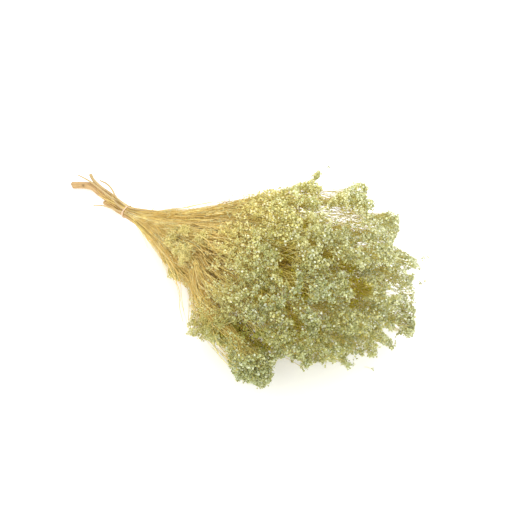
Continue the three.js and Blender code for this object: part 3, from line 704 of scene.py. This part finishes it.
# painted shade: florets in the gaps between clumps are darkened; painted light: the clump tops are made paler and
# bluer; each clump also gets a random brightness
f_tint = f_tint + (np.array([0.330, 0.330, 0.060]) - f_tint) * (0.62 * clump_gap_shade ** 1.5 * (1 - 0.5 * inner[:, 0]))[:, None]
f_tint = f_tint * (1 + np.array([0.060, 0.075, 0.150]) * (1 - clump_gap_shade)[:, None]) * (0.965 + 0.09 * ctag)[:, None]
f_tint = f_tint * (0.82 + 0.34 * rng.random((N3, 1)))
f_tint = f_tint * (1 + np.array([0.20, 0.12, -0.02]) * np.clip((330 - s_pos) / 120, 0, 1) * np.clip(1.25 - np.abs(y_pos + 5) / 95, 0, 1))
# painted light and shade: the +y side is lighter, the -y side and the far end darker
painted_top_light = np.tanh((y_pos - 0.35 * (s_pos - 280)) / 110)
f_tint = f_tint * (1 + np.array([0.21, 0.205, 0.27]) * painted_top_light - 0.05 * np.clip((s_pos - 250) / 90, 0, 1))
f_tint = f_tint + (np.array([0.310, 0.300, 0.050]) - f_tint) * zones(xy3, DARK)[:, None]
size3 = rng.uniform(2.0, 3.3, N3) * np.where(kind == 2, 1.0, np.where(kind == 1, 1.15, 1.35))
size3 = np.where(rr[head3] < 9, size3 * 0.85, size3)
qb_, sb_ = q_of(B3)
edge3 = np.clip((sb_ - np.interp(np.degrees(np.arctan2(qb_[:, 1], qb_[:, 0])), START_A, START_S) + 30) / 90.0, 0, 1)
size3 = size3 * (0.74 + 0.26 * edge3)          # finer where the bloom begins
gold = np.array([0.860, 0.740, 0.330])
f_tint = f_tint + (gold * (0.90 + 0.2 * rng.random((N3, 1))) - f_tint) * (0.62 * (1 - edge3))[:, None]

# strands that end inside the bunch and thicken the straw
NF = 900
ang = rng.random(NF) * 6.28
qr = np.sqrt(rng.uniform(0.45, 0.97, NF))
qf = np.stack([qr * np.cos(ang), qr * np.sin(ang)], 1)
sf = rng.uniform(85, 225, NF)
pathf, ownf = fork(sf, qf, 4 + 80 * rng.random(NF) ** 1.2, first, path1[first], own1[first], 8, rng.uniform(2.0, 7.5, NF), 1.4)

# thicker pale strands on the outside of the straw
NB = 210
ang = rng.random(NB) * 6.28
qr = rng.uniform(0.84, 0.98, NB)
qb = np.stack([qr * np.cos(ang), qr * np.sin(ang)], 1)
pathb, ownbold = fork(rng.uniform(110, 240, NB), qb, 3 + 40 * rng.random(NB), first, path1[first], own1[first], 8, rng.uniform(1.0, 3.5, NB), 1.3)
tintb = np.minimum(1.0, straw_tint(NB, 0.10)); rb = rng.uniform(0.46, 0.72, NB)

# a haze of small sprays where the straw turns into bloom
NH = 2600
srch = rng.integers(0, N1 + NF, 3 * NH)
baseh, tanh_, ownh = np.zeros((3 * NH, 3)), np.zeros((3 * NH, 3)), np.zeros(3 * NH, int)
for j_ in range(3 * NH):
    P_ = path1[srch[j_]] if srch[j_] < N1 else pathf[srch[j_] - N1]
    ownh[j_] = own1[srch[j_]] if srch[j_] < N1 else ownf[srch[j_] - N1]
    sp = P_ @ AX
    s_ = rng.uniform(max(sp[0] + 2, 60), max(sp[0] + 3, min(sp[-1] - 2, 255)))
    baseh[j_] = [np.interp(s_, sp, P_[:, a_]) for a_ in range(3)]
    q_ = [np.interp(s_ + 2, sp, P_[:, a_]) for a_ in range(3)]
    tanh_[j_] = unit(np.array(q_) - baseh[j_] + 1e-9)
qh, sh_ = q_of(baseh)
sth = np.interp(np.degrees(np.arctan2(qh[:, 1], qh[:, 0])), START_A, START_S)
want = np.interp(sh_ - sth, [-85, -45, -10, 15, 50], [0.03, 0.14, 0.9, 0.8, 0.0]) * np.clip((np.hypot(*qh.T) - 0.62) / 0.2, 0, 1)
xyh = in_view(baseh)[0]
for x_, y_, a_, k_ in ((-89.0, 15.0, 12.0, 1.6), (-82.0, 26.0, 8.0, 0.9), (-94.0, -19.0, 6.0, 0.8), (-70.0, -6.0, 9.0, 0.6)):
    want = np.maximum(want, k_ * np.exp(-((xyh[:, 0] - x_) ** 2 + (xyh[:, 1] - y_) ** 2) / a_ ** 2) * (np.hypot(*qh.T) > 0.6))
patch = 0.5 + 0.5 * np.sin(baseh[:, 1] / 9.0 + 1.3 * np.sin(sh_ / 13.0)) * np.sin(sh_ / 15.0 + baseh[:, 2] / 11.0)
keeph = rng.random(3 * NH) < want * (0.45 + 0.75 * patch)
baseh, tanh_, ownh = baseh[keeph][:NH], tanh_[keeph][:NH], ownh[keeph][:NH]
NH = len(baseh)
vh = rng.normal(size=(NH, 3)) + 0.8 * unit(baseh - (baseh @ AX)[:, None] * AX)
vh -= (vh * tanh_).sum(1, keepdims=True) * tanh_; vh = unit(vh)
ah = np.radians(rng.uniform(14, 42, (NH, 1)))
dirh = unit(np.cos(ah) * tanh_ + np.sin(ah) * vh)
lenh = rng.uniform(4, 13, NH)
endh = above_floor(baseh + dirh * lenh[:, None], 3.0)
KH = 3
vb = unit(rng.normal(size=(NH, KH, 3)) * 0.8 + dirh[:, None])
budh = above_floor((endh[:, None] - dirh[:, None] * rng.uniform(0, 3.5, (NH, KH, 1)) + vb * rng.uniform(0.8, 2.6, (NH, KH, 1))).reshape(-1, 3), 2.0)
budh_dir = vb.reshape(-1, 3); ownb = np.repeat(ownh, KH)
tinth = np.where(rng.random((NH * KH, 1)) < 0.5, [[0.840, 0.760, 0.370]], [[0.700, 0.710, 0.400]]) * rng.uniform(0.85, 1.12, (NH * KH, 1))
sizeh = rng.uniform(1.5, 2.5, NH * KH)

# a few last sprays that stand clear of the outline
ISLES = [(195.7, -2.3, 2.6, 7), (192.2, -31.6, 2.6, 7), (198.0, -29.5, 1.6, 4), (201.5, -1.0, 1.2, 3), (136.0, -133.0, 2.2, 5), (84.5, 104.0, 2.0, 5)]
isle_path, isle_bud, isle_own = [], [], []
hxy, hz = in_view(cc)
for x_, y_, r_, n_ in ISLES:
    j_ = int(np.hypot(hxy[:, 0] - x_, hxy[:, 1] - y_).argmin())
    p_ = TARGET + 1000 * BACK + hz[j_] * ((x_ * RIGHT + y_ * UP) / 1000.0 - BACK)
    a_ = cc[j_] + (p_ - cc[j_]) * 0.25
    m_ = a_ + (p_ - a_) * 0.5 + np.array([0, 0, 1.5])
    isle_path.append(np.array([a_, (a_ + m_) / 2 + [0, 0, 0.5], m_, p_])); k_ = int(owner(q_of(cc[j_][None])[0])[0])
    isle_own.append(k_)
    for _ in range(n_):
        isle_bud.append((p_ + unit(rng.normal(size=3)) * r_ * rng.random() ** 0.5, k_))
ownb_extra = np.array([b[1] for b in isle_bud])

# short dry twiglets on the straw
NT = 1300
src = rng.integers(0, N1 + NF, NT)
st_ = rng.uniform(2, 190, NT)
base_, tan_ = np.zeros((NT, 3)), np.zeros((NT, 3)); ownt = np.zeros(NT, int)
for j_ in range(NT):
    far = -1.0
    for c_ in rng.integers(0, N1 + NF, 7):           # the outermost of a few strands
        P_ = path1[c_] if c_ < N1 else pathf[c_ - N1]
        if P_[0] @ AX > st_[j_] - 2 or P_[-1] @ AX < st_[j_] + 2:
            continue
        pt = np.array([[np.interp(st_[j_], P_ @ AX, P_[:, a_]) for a_ in range(3)]])
        d_ = np.hypot(*q_of(pt)[0][0]) + 0.15 * rng.random()
        if d_ > far:
            far, src[j_] = d_, c_
    P_ = path1[src[j_]] if src[j_] < N1 else pathf[src[j_] - N1]
    ownt[j_] = own1[src[j_]] if src[j_] < N1 else ownf[src[j_] - N1]
    sp = P_ @ AX
    s_ = min(max(st_[j_], sp[0] + 2), sp[-1] - 2)
    base_[j_] = [np.interp(s_, sp, P_[:, a_]) for a_ in range(3)]
    q_ = [np.interp(s_ + 2, sp, P_[:, a_]) for a_ in range(3)]
    tan_[j_] = unit(np.array(q_) - base_[j_])
rad_ = unit(base_ - (base_ @ AX)[:, None] * AX + 1e-6)
sd_ = unit(np.cross(tan_, rad_)) * rng.choice([-1, 1], NT)[:, None]
side_ = unit(sd_ + rng.uniform(-0.25, 0.40, (NT, 1)) * rad_)
lt = rng.uniform(9, 38, NT) * np.minimum(1, 0.40 + (base_ @ AX) / 70)
twig_shadow_bits = rng.random(NT) < 0.14                  # short dark bits among the straw: painted shade standing in for the shadows of crossing twigs
lt = np.where(twig_shadow_bits, rng.uniform(2.5, 6.0, NT), lt)
aa = np.radians(rng.uniform(8, 34, NT))[:, None]
d_a = unit(np.cos(aa) * tan_ + np.sin(aa) * side_)
bend = rng.uniform(-0.35, 0.35, (NT, 1)) * np.cross(tan_, side_) + rng.uniform(-0.5, 0.3, (NT, 1)) * side_
tt = np.linspace(0, 1, 5)[None, :, None]
patht = base_[:, None] + lt[:, None, None] * (d_a[:, None] * tt + 0.5 * bend[:, None] * tt ** 2)
patht = above_floor(patht, 2.0)

# single strands that have come away from the bunch
STRAYS = [
    (0, [(63, -27, 15), (103, -47, 28), (133, -63, 42), (160, -87, 46), (182, -104, 43), (199, -116, 35), (209, -124, 27)]),
    (0, [(83, -33, 25), (122, -56, 38), (163, -84, 54), (180, -101, 51), (191, -111, 42)]),
    (2, [(103, -46, 26), (146, -77, 46), (173, -96, 50), (177, -103, 36), (190, -113, 27)]),
    (5, [(33, 2, 15), (38, 9, 19), (35, 20, 20), (30, 24, 20), (27, 23, 21)]),
    (4, [(58, 19, 20), (82, 32, 32), (109, 43, 47), (138, 55, 67)]),
    (4, [(47, 12, 18), (76, 28, 29), (101, 39, 42), (124, 45, 54)]),
    (1, [(214, -104, 55), (236, -121, 55), (252, -133, 54), (272, -141, 52), (288, -139, 50)]),
    (1, [(222, -104, 60), (244, -123, 59), (260, -134, 59), (278, -141, 60), (292, -138, 57)]),
]

def curve_points(ctrl, n):
    """Centripetal Catmull-Rom line through ctrl, n + 1 points."""
    P = np.array(ctrl, float)
    P = np.vstack([2 * P[0] - P[1], P, 2 * P[-1] - P[-2]])
    m = len(P) - 3
    out = []
    for t in np.linspace(0, m - 1e-9, n + 1):
        i = int(t); f = t - i
        p0, p1, p2_, p3 = P[i:i + 4]
        a = np.linalg.norm(p1 - p0) ** 0.5; b = np.linalg.norm(p2_ - p1) ** 0.5; c = np.linalg.norm(p3 - p2_) ** 0.5
        t1, t2_, t3 = a, a + b, a + b + c
        x = t1 + f * b
        A1 = (t1 - x) / t1 * p0 + x / t1 * p1
        A2_ = (t2_ - x) / b * p1 + (x - t1) / b * p2_
        A3_ = (t3 - x) / c * p2_ + (x - t2_) / c * p3
        B1 = (t2_ - x) / t2_ * A1 + x / t2_ * A2_
        B2_ = (t3 - x) / (t3 - t1) * A2_ + (x - t1) / (t3 - t1) * A3_
        out.append((t2_ - x) / b * B1 + (x - t1) / b * B2_)
    return np.array(out)


def wood(bag, i):
    st = STEMS[i]
    line = curve_points(st["back"] + [tuple(at(0.0, st["neck"][0], st["neck"][1]))], 46 if i < 2 else 30)
    rad = np.interp(np.linspace(0, 1, len(line)), np.linspace(0, 1, len(st["r"])), st["r"])
    c = np.array(st["neck"]) / NECK_HALF
    ext = [(6, 0.97), (12, 0.92), (18, 0.84), (26, 0.7), (34, 0.5), (44, 0.3)]
    line = np.vstack([line] + [at_q(float(s), c[0], c[1])[None] for s, _ in ext])
    rad = np.append(rad, [rad[-1] * k for _, k in ext])
    M = len(line); S = 28 if i < 2 else 12
    T = unit(np.gradient(line, axis=0))
    N_ = np.zeros_like(T); n0 = np.array([0, 0, 1.0])
    for j in range(M):
        n0 = unit(n0 - (n0 @ T[j]) * T[j]); N_[j] = n0
    Bn = np.cross(T, N_)
    dist = np.concatenate([[0], np.cumsum(np.linalg.norm(np.diff(line, axis=0), axis=1))])
    th = 2 * np.pi * np.arange(S) / S
    # lengthwise grooves that wander slowly, and a few swollen joints
    D_, TH = np.meshgrid(dist, th, indexing="ij")
    rel = np.zeros((M, S))
    for kf, amp in ((5, 0.030), (9, 0.022), (14, 0.014)):
        rel += amp * np.sin(kf * TH + rng.random() * 6.28 + 0.8 * np.sin(D_ / rng.uniform(16, 30) + rng.random() * 6))
    joints = rng.uniform(12, dist[-1] - 60, 2 if i < 2 else 1) if dist[-1] > 90 else []
    for jd in list(joints):
        rel += 0.07 * np.exp(-((D_ - jd) / 2.4) ** 2)
    tint = np.ones((M, S, 3)) * (np.array([0.615, 0.425, 0.205]) if i < 2 else np.array([0.650, 0.490, 0.240]))
    streak = 0.5 + 0.5 * np.sin(7 * TH + 2.0 * np.sin(D_ / 23.0) + i)
    tint *= (0.86 + 0.20 * streak)[..., None]
    if i == 0:   # dark scar of a lost side shoot, near the cut end
        scar = np.exp(-(((D_ - 16.5) / 1.9) ** 2 + ((np.angle(np.exp(1j * (TH - 0.9)))) / 0.38) ** 2))
        rel -= 0.10 * scar - 0.06 * np.exp(-(((D_ - 16.5) / 4.0) ** 2 + ((np.angle(np.exp(1j * (TH - 0.9)))) / 0.8) ** 2))
        tint = tint * (1 - 0.72 * scar[..., None]) + np.array([0.10, 0.05, 0.02]) * 0.4 * scar[..., None]
    R_ = rad[:, None] * (1 + rel)
    co = line[:, None] + R_[..., None] * (np.cos(TH)[..., None] * N_[:, None] + np.sin(TH)[..., None] * Bn[:, None])
    # the cut end: a slightly slanted, splintered face with a pale ring of wood
    cut = co[0] - T[0] * (0.5 * np.sin(3 * th + i) + 0.35 * rng.random(S) + 0.9 * np.cos(th))[:, None] * (rad[0] / 4.5)
    co[0] = cut
    centre = cut.mean(0) + T[0] * 0.5
    inner = centre + (cut - cut.mean(0)) * 0.45
    endc = line[-1] + T[-1] * 0.5
    verts = np.concatenate([co.reshape(-1, 3), inner, centre[None], endc[None]])
    tn = np.concatenate([tint.reshape(-1, 3), np.tile([0.80, 0.64, 0.38], (S, 1)), [[0.50, 0.34, 0.16]], [[0.7, 0.5, 0.25]]])
    m = np.arange(M - 1)[:, None] * S; k_ = np.arange(S)[None]; k2_ = (k_ + 1) % S
    quad = np.stack(np.broadcast_arrays(m + k_, m + k2_, m + S + k2_, m + S + k_), -1).reshape(-1, 4)
    b = M * S; ks = np.arange(S); k2s = (ks + 1) % S
    ring = np.stack([ks, b + ks, b + k2s, k2s], 1)
    tri = np.concatenate([np.stack([b + ks, np.full(S, b + S), b + k2s], 1), np.stack([(M - 1) * S + ks, (M - 1) * S + k2s, np.full(S, b + S + 1)], 1)])
    bag.add(verts, tri=tri, quad=np.concatenate([quad, ring]), tint=tn)


# thin twigs that lie along the thick stem before the neck
main = curve_points(STEMS[0]["back"] + [tuple(at(0.0, *STEMS[0]["neck"]))], 60)
ALONG = []
for k_, (a_, x0_, gap_, r_) in enumerate([(28, -72, 1.3, 0.62), (48, -60, 0.9, 0.85), (66, -84, 0.8, 0.55), (88, -52, 0.8, 0.75),
                                          (108, -66, 0.8, 0.60), (128, -44, 0.9, 0.80), (146, -58, 0.9, 0.55), (168, -38, 1.0, 0.70),
                                          (196, -46, 1.1, 0.60), (8, -48, 1.6, 0.70), (38, -40, 2.4, 0.55), (78, -34, 2.2, 0.60),
                                          (118, -30, 2.2, 0.50), (-14, -40, 1.6, 0.60)]):
    xs = np.linspace(x0_, -4, 9)
    rm = np.interp(xs, [-110, -64, -22, 0], [4.7, 4.35, 3.75, 3.65])
    cy, cz = np.interp(xs, main[:, 0], main[:, 1]), np.interp(xs, main[:, 0], main[:, 2])
    an_ = math.radians(a_) + 0.25 * np.sin(xs / 17.0 + k_)
    hug = rm + gap_ * (1 + 0.5 * np.sin(xs / 11.0 + 2.0 * k_)) + 1.6 * np.clip((x0_ + 9 - xs) / 9, 0, 1)
    pb = np.stack([xs, cy + hug * np.cos(an_), cz + hug * np.sin(an_)], -1)
    qk = np.array([(pb[-1, 1] - lean(0)), pb[-1, 2]]) / NECK_HALF
    qk *= min(1.0, 0.93 / np.linalg.norm(qk))
    sf_ = np.array([6.0, 22, 42, 66, 92, 120]); fan = 1 + 0.12 * np.sin(sf_ / 30.0 + k_)
    ALONG.append((np.vstack([pb, at_q(sf_, qk[0] * fan, qk[1] * fan)]), r_, int(owner(qk[None])[0])))


# ----------------------------------------------------------------- materials
def material(name, build):
    m = bpy.data.materials.new(name); m.use_nodes = True
    nt = m.node_tree; nt.nodes.clear()
    out = nt.nodes.new("ShaderNodeOutputMaterial"); bs = nt.nodes.new("ShaderNodeBsdfPrincipled")
    nt.links.new(bs.outputs["BSDF"], out.inputs["Surface"])
    build(nt, bs)
    return m


def tinted(nt, bs, scale, low, high, rough, spec=0.25, bump=0.0, bscale=900.0, stretch=None):
    at_ = nt.nodes.new("ShaderNodeAttribute"); at_.attribute_name = "tint"
    tc = nt.nodes.new("ShaderNodeTexCoord")
    vec = tc.outputs["Object"]
    if stretch:
        mp = nt.nodes.new("ShaderNodeMapping"); mp.inputs["Scale"].default_value = stretch
        nt.links.new(vec, mp.inputs["Vector"]); vec = mp.outputs["Vector"]
    nz = nt.nodes.new("ShaderNodeTexNoise"); nz.inputs["Scale"].default_value = scale; nz.inputs["Detail"].default_value = 3.0
    nt.links.new(vec, nz.inputs["Vector"])
    rp = nt.nodes.new("ShaderNodeValToRGB")
    rp.color_ramp.elements[0].position = 0.30; rp.color_ramp.elements[0].color = (*low, 1)
    rp.color_ramp.elements[1].position = 0.70; rp.color_ramp.elements[1].color = (*high, 1)
    nt.links.new(nz.outputs["Fac"], rp.inputs["Fac"])
    mx = nt.nodes.new("ShaderNodeMix"); mx.data_type = "RGBA"; mx.blend_type = "MULTIPLY"; mx.inputs["Factor"].default_value = 1.0
    nt.links.new(at_.outputs["Color"], mx.inputs["A"]); nt.links.new(rp.outputs["Color"], mx.inputs["B"])
    nt.links.new(mx.outputs["Result"], bs.inputs["Base Color"])
    bs.inputs["Roughness"].default_value = rough
    bs.inputs["Specular IOR Level"].default_value = spec
    if bump:
        n2 = nt.nodes.new("ShaderNodeTexNoise"); n2.inputs["Scale"].default_value = bscale; n2.inputs["Detail"].default_value = 4.0
        nt.links.new(vec, n2.inputs["Vector"])
        bp = nt.nodes.new("ShaderNodeBump"); bp.inputs["Strength"].default_value = bump; bp.inputs["Distance"].default_value = 0.0004
        nt.links.new(n2.outputs["Fac"], bp.inputs["Height"]); nt.links.new(bp.outputs["Normal"], bs.inputs["Normal"])


mat_bloom = material("papery_floret", lambda nt, bs: tinted(nt, bs, 120.0, (0.88, 0.90, 0.82), (1.06, 1.05, 1.02), 0.85, 0.15))
mat_straw = material("straw_twig", lambda nt, bs: tinted(nt, bs, 60.0, (0.84, 0.80, 0.74), (1.06, 1.05, 1.03), 0.62, 0.3))
mat_wood = material("woody_stem", lambda nt, bs: tinted(nt, bs, 300.0, (0.80, 0.74, 0.66), (1.10, 1.08, 1.05), 0.70, 0.25, bump=0.5, bscale=900.0, stretch=(0.18, 1.0, 1.0)))
mat_band = material("elastic_band", lambda nt, bs: tinted(nt, bs, 400.0, (0.92, 0.90, 0.88), (1.04, 1.03, 1.02), 0.5, 0.3, bump=0.15, bscale=700.0))

# ------------------------------------------------------------------- assemble
total = 0
r1 = rng.uniform(0.72, 1.22, N1)
tint1 = straw_tint(N1)
rf = rng.uniform(0.65, 1.15, NF)
tintf = straw_tint(NF)
r2v = rng.uniform(0.85, 1.15, N2)
tint2 = straw_tint(N2) * np.array([0.92, 1.02, 0.92])
# painted shade: side branches that end in a hollow are tinted dark brown
_, sh2 = hollow(*in_view(B2))
hollow_shade_brown = np.array([0.540, 0.385, 0.015])
tint2 = tint2 + (hollow_shade_brown - tint2) * 0.75 * sh2[:, None]
tint3 = straw_tint(N3) * np.array([0.88, 1.02, 0.90])
# painted shade: floret stalks deep in the head are tinted dark brown
tint3 = tint3 + (hollow_shade_brown - tint3) * 0.8 * inner
tintt = straw_tint(NT, 0.05)
# the short dark bits get a dark brown tint: painted shade
tintt[twig_shadow_bits] = np.array([0.38, 0.24, 0.07]) * rng.uniform(0.7, 1.3, (int(twig_shadow_bits.sum()), 1))
xy_, z_ = in_view(path1.reshape(-1, 3)); sh1 = hollow(xy_, z_)[1].reshape(N1, M1)[..., None]
used1 = np.bincount(I2[used2], minlength=N1) > 0
keep1 = used1 & ((np.bincount(I2[shown2], minlength=N1) > 0) | (rng.random(N1) < 0.4))
star = (kind == 2) & (rng.random(N3) < 0.12)
stalk = (kind == 2) & (rng.random(N3) < 0.50)
counts = []
for i in range(len(STEMS)):
    nn = f"{i + 1:02d}"
    w_ = Bag(); wood(w_, i)
    ob, n = w_.mesh(f"stem_{nn}_wood"); total += n
    ob.data.materials.append(mat_wood if i < 2 else mat_straw)
    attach(ob, "root"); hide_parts(f"stem_{nn}")

    tw = Bag()
    m = (own1 == i) & keep1
    f = np.linspace(0, 1, M1)[None]
    fade = np.array([0.84, 0.97, 0.76])[None, None]      # twigs green a little towards the bloom
    tv = tint1[m][:, None] * (1 + (fade - 1) * np.clip((f[..., None] - 0.55) / 0.45, 0, 1))
    # painted shade: strands are tinted dark brown where they pass through a hollow
    tv = tv + (hollow_shade_brown - tv) * 0.7 * sh1[m]
    tubes(tw, path1[m], (0.43 - 0.22 * f) * r1[m][:, None], 3, tv)
    m = ownf == i
    tubes(tw, pathf[m], (0.40 - 0.20 * np.linspace(0, 1, 8)[None]) * rf[m][:, None], 3, tintf[m])
    m = ownt == i
    if m.any():
        tubes(tw, patht[m], np.linspace(0.34, 0.15, 5)[None] * np.ones((int(m.sum()), 1)), 3, tintt[m])
    m = (own2 == i) & shown2
    tubes(tw, path2[m], np.array([[0.27, 0.22, 0.17]]) * r2v[m][:, None], 3, tint2[m])
    m = (own2 == i) & used2 & ~shown2
    spikes(tw, A2[m], B2[m], 0.26 * r2v[m], tint2[m])
    m = (own3 == i) & stalk
    spikes(tw, A3[m], B3[m], rng.uniform(0.15, 0.22, m.sum()), tint3[m])
    m = ownbold == i
    if m.any():
        tubes(tw, pathb[m], (1.0 - 0.45 * np.linspace(0, 1, 8)[None]) * rb[m][:, None], 4, tintb[m])
    m = ownh == i
    spikes(tw, baseh[m], endh[m], rng.uniform(0.20, 0.30, int(m.sum())), straw_tint(int(m.sum()), 0.03))
    for ln, o_ in zip(isle_path, isle_own):
        if o_ == i:
            tubes(tw, above_floor(ln, 2.0)[None], np.array([[0.32, 0.28, 0.24, 0.18]]), 4, straw_tint(1, -0.1))
    for ln, r_, o_ in ALONG:
        if o_ == i:
            tubes(tw, above_floor(curve_points(ln, 34), 1.2)[None], np.interp(np.linspace(0, 1, 35), [0, 0.06, 0.5, 1], [0.6, 1, 0.9, 0.4])[None] * r_, 5, straw_tint(1, -0.14))
    for o_, ctrl in STRAYS:
        if o_ == i:
            ln = curve_points(ctrl, 14)
            tubes(tw, above_floor(ln, 2.0)[None], np.linspace(0.50, 0.24, 15)[None], 4, straw_tint(1, 0.05))
    ob, n1_ = tw.mesh(f"stem_{nn}_twigs"); total += n1_
    ob.data.materials.append(mat_straw)
    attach(ob, "root"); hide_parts(f"stem_{nn}")

    fl = Bag()
    m = (own3 == i) & star
    florets(fl, B3[m], dir3[m], size3[m], f_tint[m], 5)
    m = (own3 == i) & (kind == 2) & ~star
    cups(fl, B3[m], dir3[m], size3[m] * 1.05, f_tint[m])
    m = (own3 == i) & (kind < 2)
    buds(fl, B3[m], dir3[m], size3[m] * 1.05, f_tint[m])
    m = ownb == i
    buds(fl, budh[m], budh_dir[m], sizeh[m], tinth[m])
    if (ownb_extra == i).any():
        pb_ = above_floor(np.array([b[0] for b in isle_bud if b[1] == i]), 2.0)
        cups(fl, pb_, unit(rng.normal(size=(len(pb_), 3)) + 0.8 * AX), rng.uniform(1.9, 2.7, len(pb_)), np.array([[0.62, 0.64, 0.33]]) * rng.uniform(0.8, 1.15, (len(pb_), 1)))
    ob, n2_ = fl.mesh(f"bloom_{nn}_florets", smooth=False); total += n2_
    ob.data.materials.append(mat_bloom)
    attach(ob, "root")
    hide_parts(*[f"bloom_{nn}_{k + 1}" for k in range(PLUMES[i])])
    counts.append((n, n1_, n2_))

# the band: a few turns of thin elastic round the outline of the bundle
bb = Bag()
turns = 3; per = 56
th = np.linspace(0, 2 * np.pi * turns, turns * per + 1)[:-1]
pts = []
for j, a in enumerate(th):
    uy, uw = math.cos(a), math.sin(a)
    h = NECKS @ np.array([uy, uw]) + RADII
    pk = int(h.argmax()); rad = RADII[pk] + 1.05 + 0.10 * math.sin(3 * a + j * 0.01)
    pts.append(at((j / len(th) - 0.5) * 1.9 + 0.35 * math.sin(a + 0.6), NECKS[pk, 0] + uy * rad, NECKS[pk, 1] + uw * rad))
pts = np.array(pts)
for _ in range(2):
    pts[1:-1] = (pts[:-2] + 2 * pts[1:-1] + pts[2:]) / 4
tubes(bb, pts[None], np.full((1, len(pts)), 0.40), 6, np.array([[0.88, 0.66, 0.46]]))
ob, n = bb.mesh("tie_band_turns"); total += n
ob.data.materials.append(mat_band)
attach(ob, "root"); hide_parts("tie_band")

# -------------------------------------------------------------- floor, light
me = bpy.data.meshes.new("floor")
me.from_pydata([(-6, -6, 0), (6, -6, 0), (6, 6, 0), (-6, 6, 0)], [], [(0, 1, 2, 3)])
fl = bpy.data.objects.new("floor", me); bpy.context.scene.collection.objects.link(fl)
fm = bpy.data.materials.new("floor"); fm.use_nodes = True
fm.node_tree.nodes["Principled BSDF"].inputs["Base Color"].default_value = (0.95, 0.95, 0.945, 1)
fm.node_tree.nodes["Principled BSDF"].inputs["Roughness"].default_value = 0.9
fm.node_tree.nodes["Principled BSDF"].inputs["Emission Color"].default_value = (1, 1, 1, 1)
fm.node_tree.nodes["Principled BSDF"].inputs["Emission Strength"].default_value = 0.35
me.materials.append(fm)

wd = bpy.data.worlds.new("studio"); wd.use_nodes = True
wd.node_tree.nodes["Background"].inputs["Color"].default_value = (1.0, 1.0, 1.0, 1)
wd.node_tree.nodes["Background"].inputs["Strength"].default_value = 1.17
bpy.context.scene.world = wd


def area(name, loc, aim, size, power, colour=(1, 1, 1)):
    d = bpy.data.lights.new(name, "AREA"); d.shape = "DISK"; d.size = size; d.energy = power; d.color = colour
    o = bpy.data.objects.new(name, d); bpy.context.scene.collection.objects.link(o)
    o.location = loc
    v = np.array(aim) - np.array(loc)
    import mathutils
    o.rotation_euler = mathutils.Vector(v).to_track_quat("-Z", "Y").to_euler()


area("key", (-0.45, 0.65, 1.7), (0.05, 0, 0.05), 1.3, 9)
area("fill", (0.75, -1.15, 1.0), (0.10, -0.12, 0.0), 1.8, 4)

# --------------------------------------------------------------------- camera
target = (NECK + TARGET) * 0.001
cd = bpy.data.cameras.new("camera"); cd.lens = 60; cd.sensor_width = 36
cam = bpy.data.objects.new("camera", cd); bpy.context.scene.collection.objects.link(cam)
cam.location = target + BACK * 1.0
import mathutils
cam.rotation_euler = mathutils.Vector(-BACK).to_track_quat("-Z", "Y").to_euler()
bpy.context.scene.camera = cam
bpy.context.scene.view_settings.view_transform = "Standard"
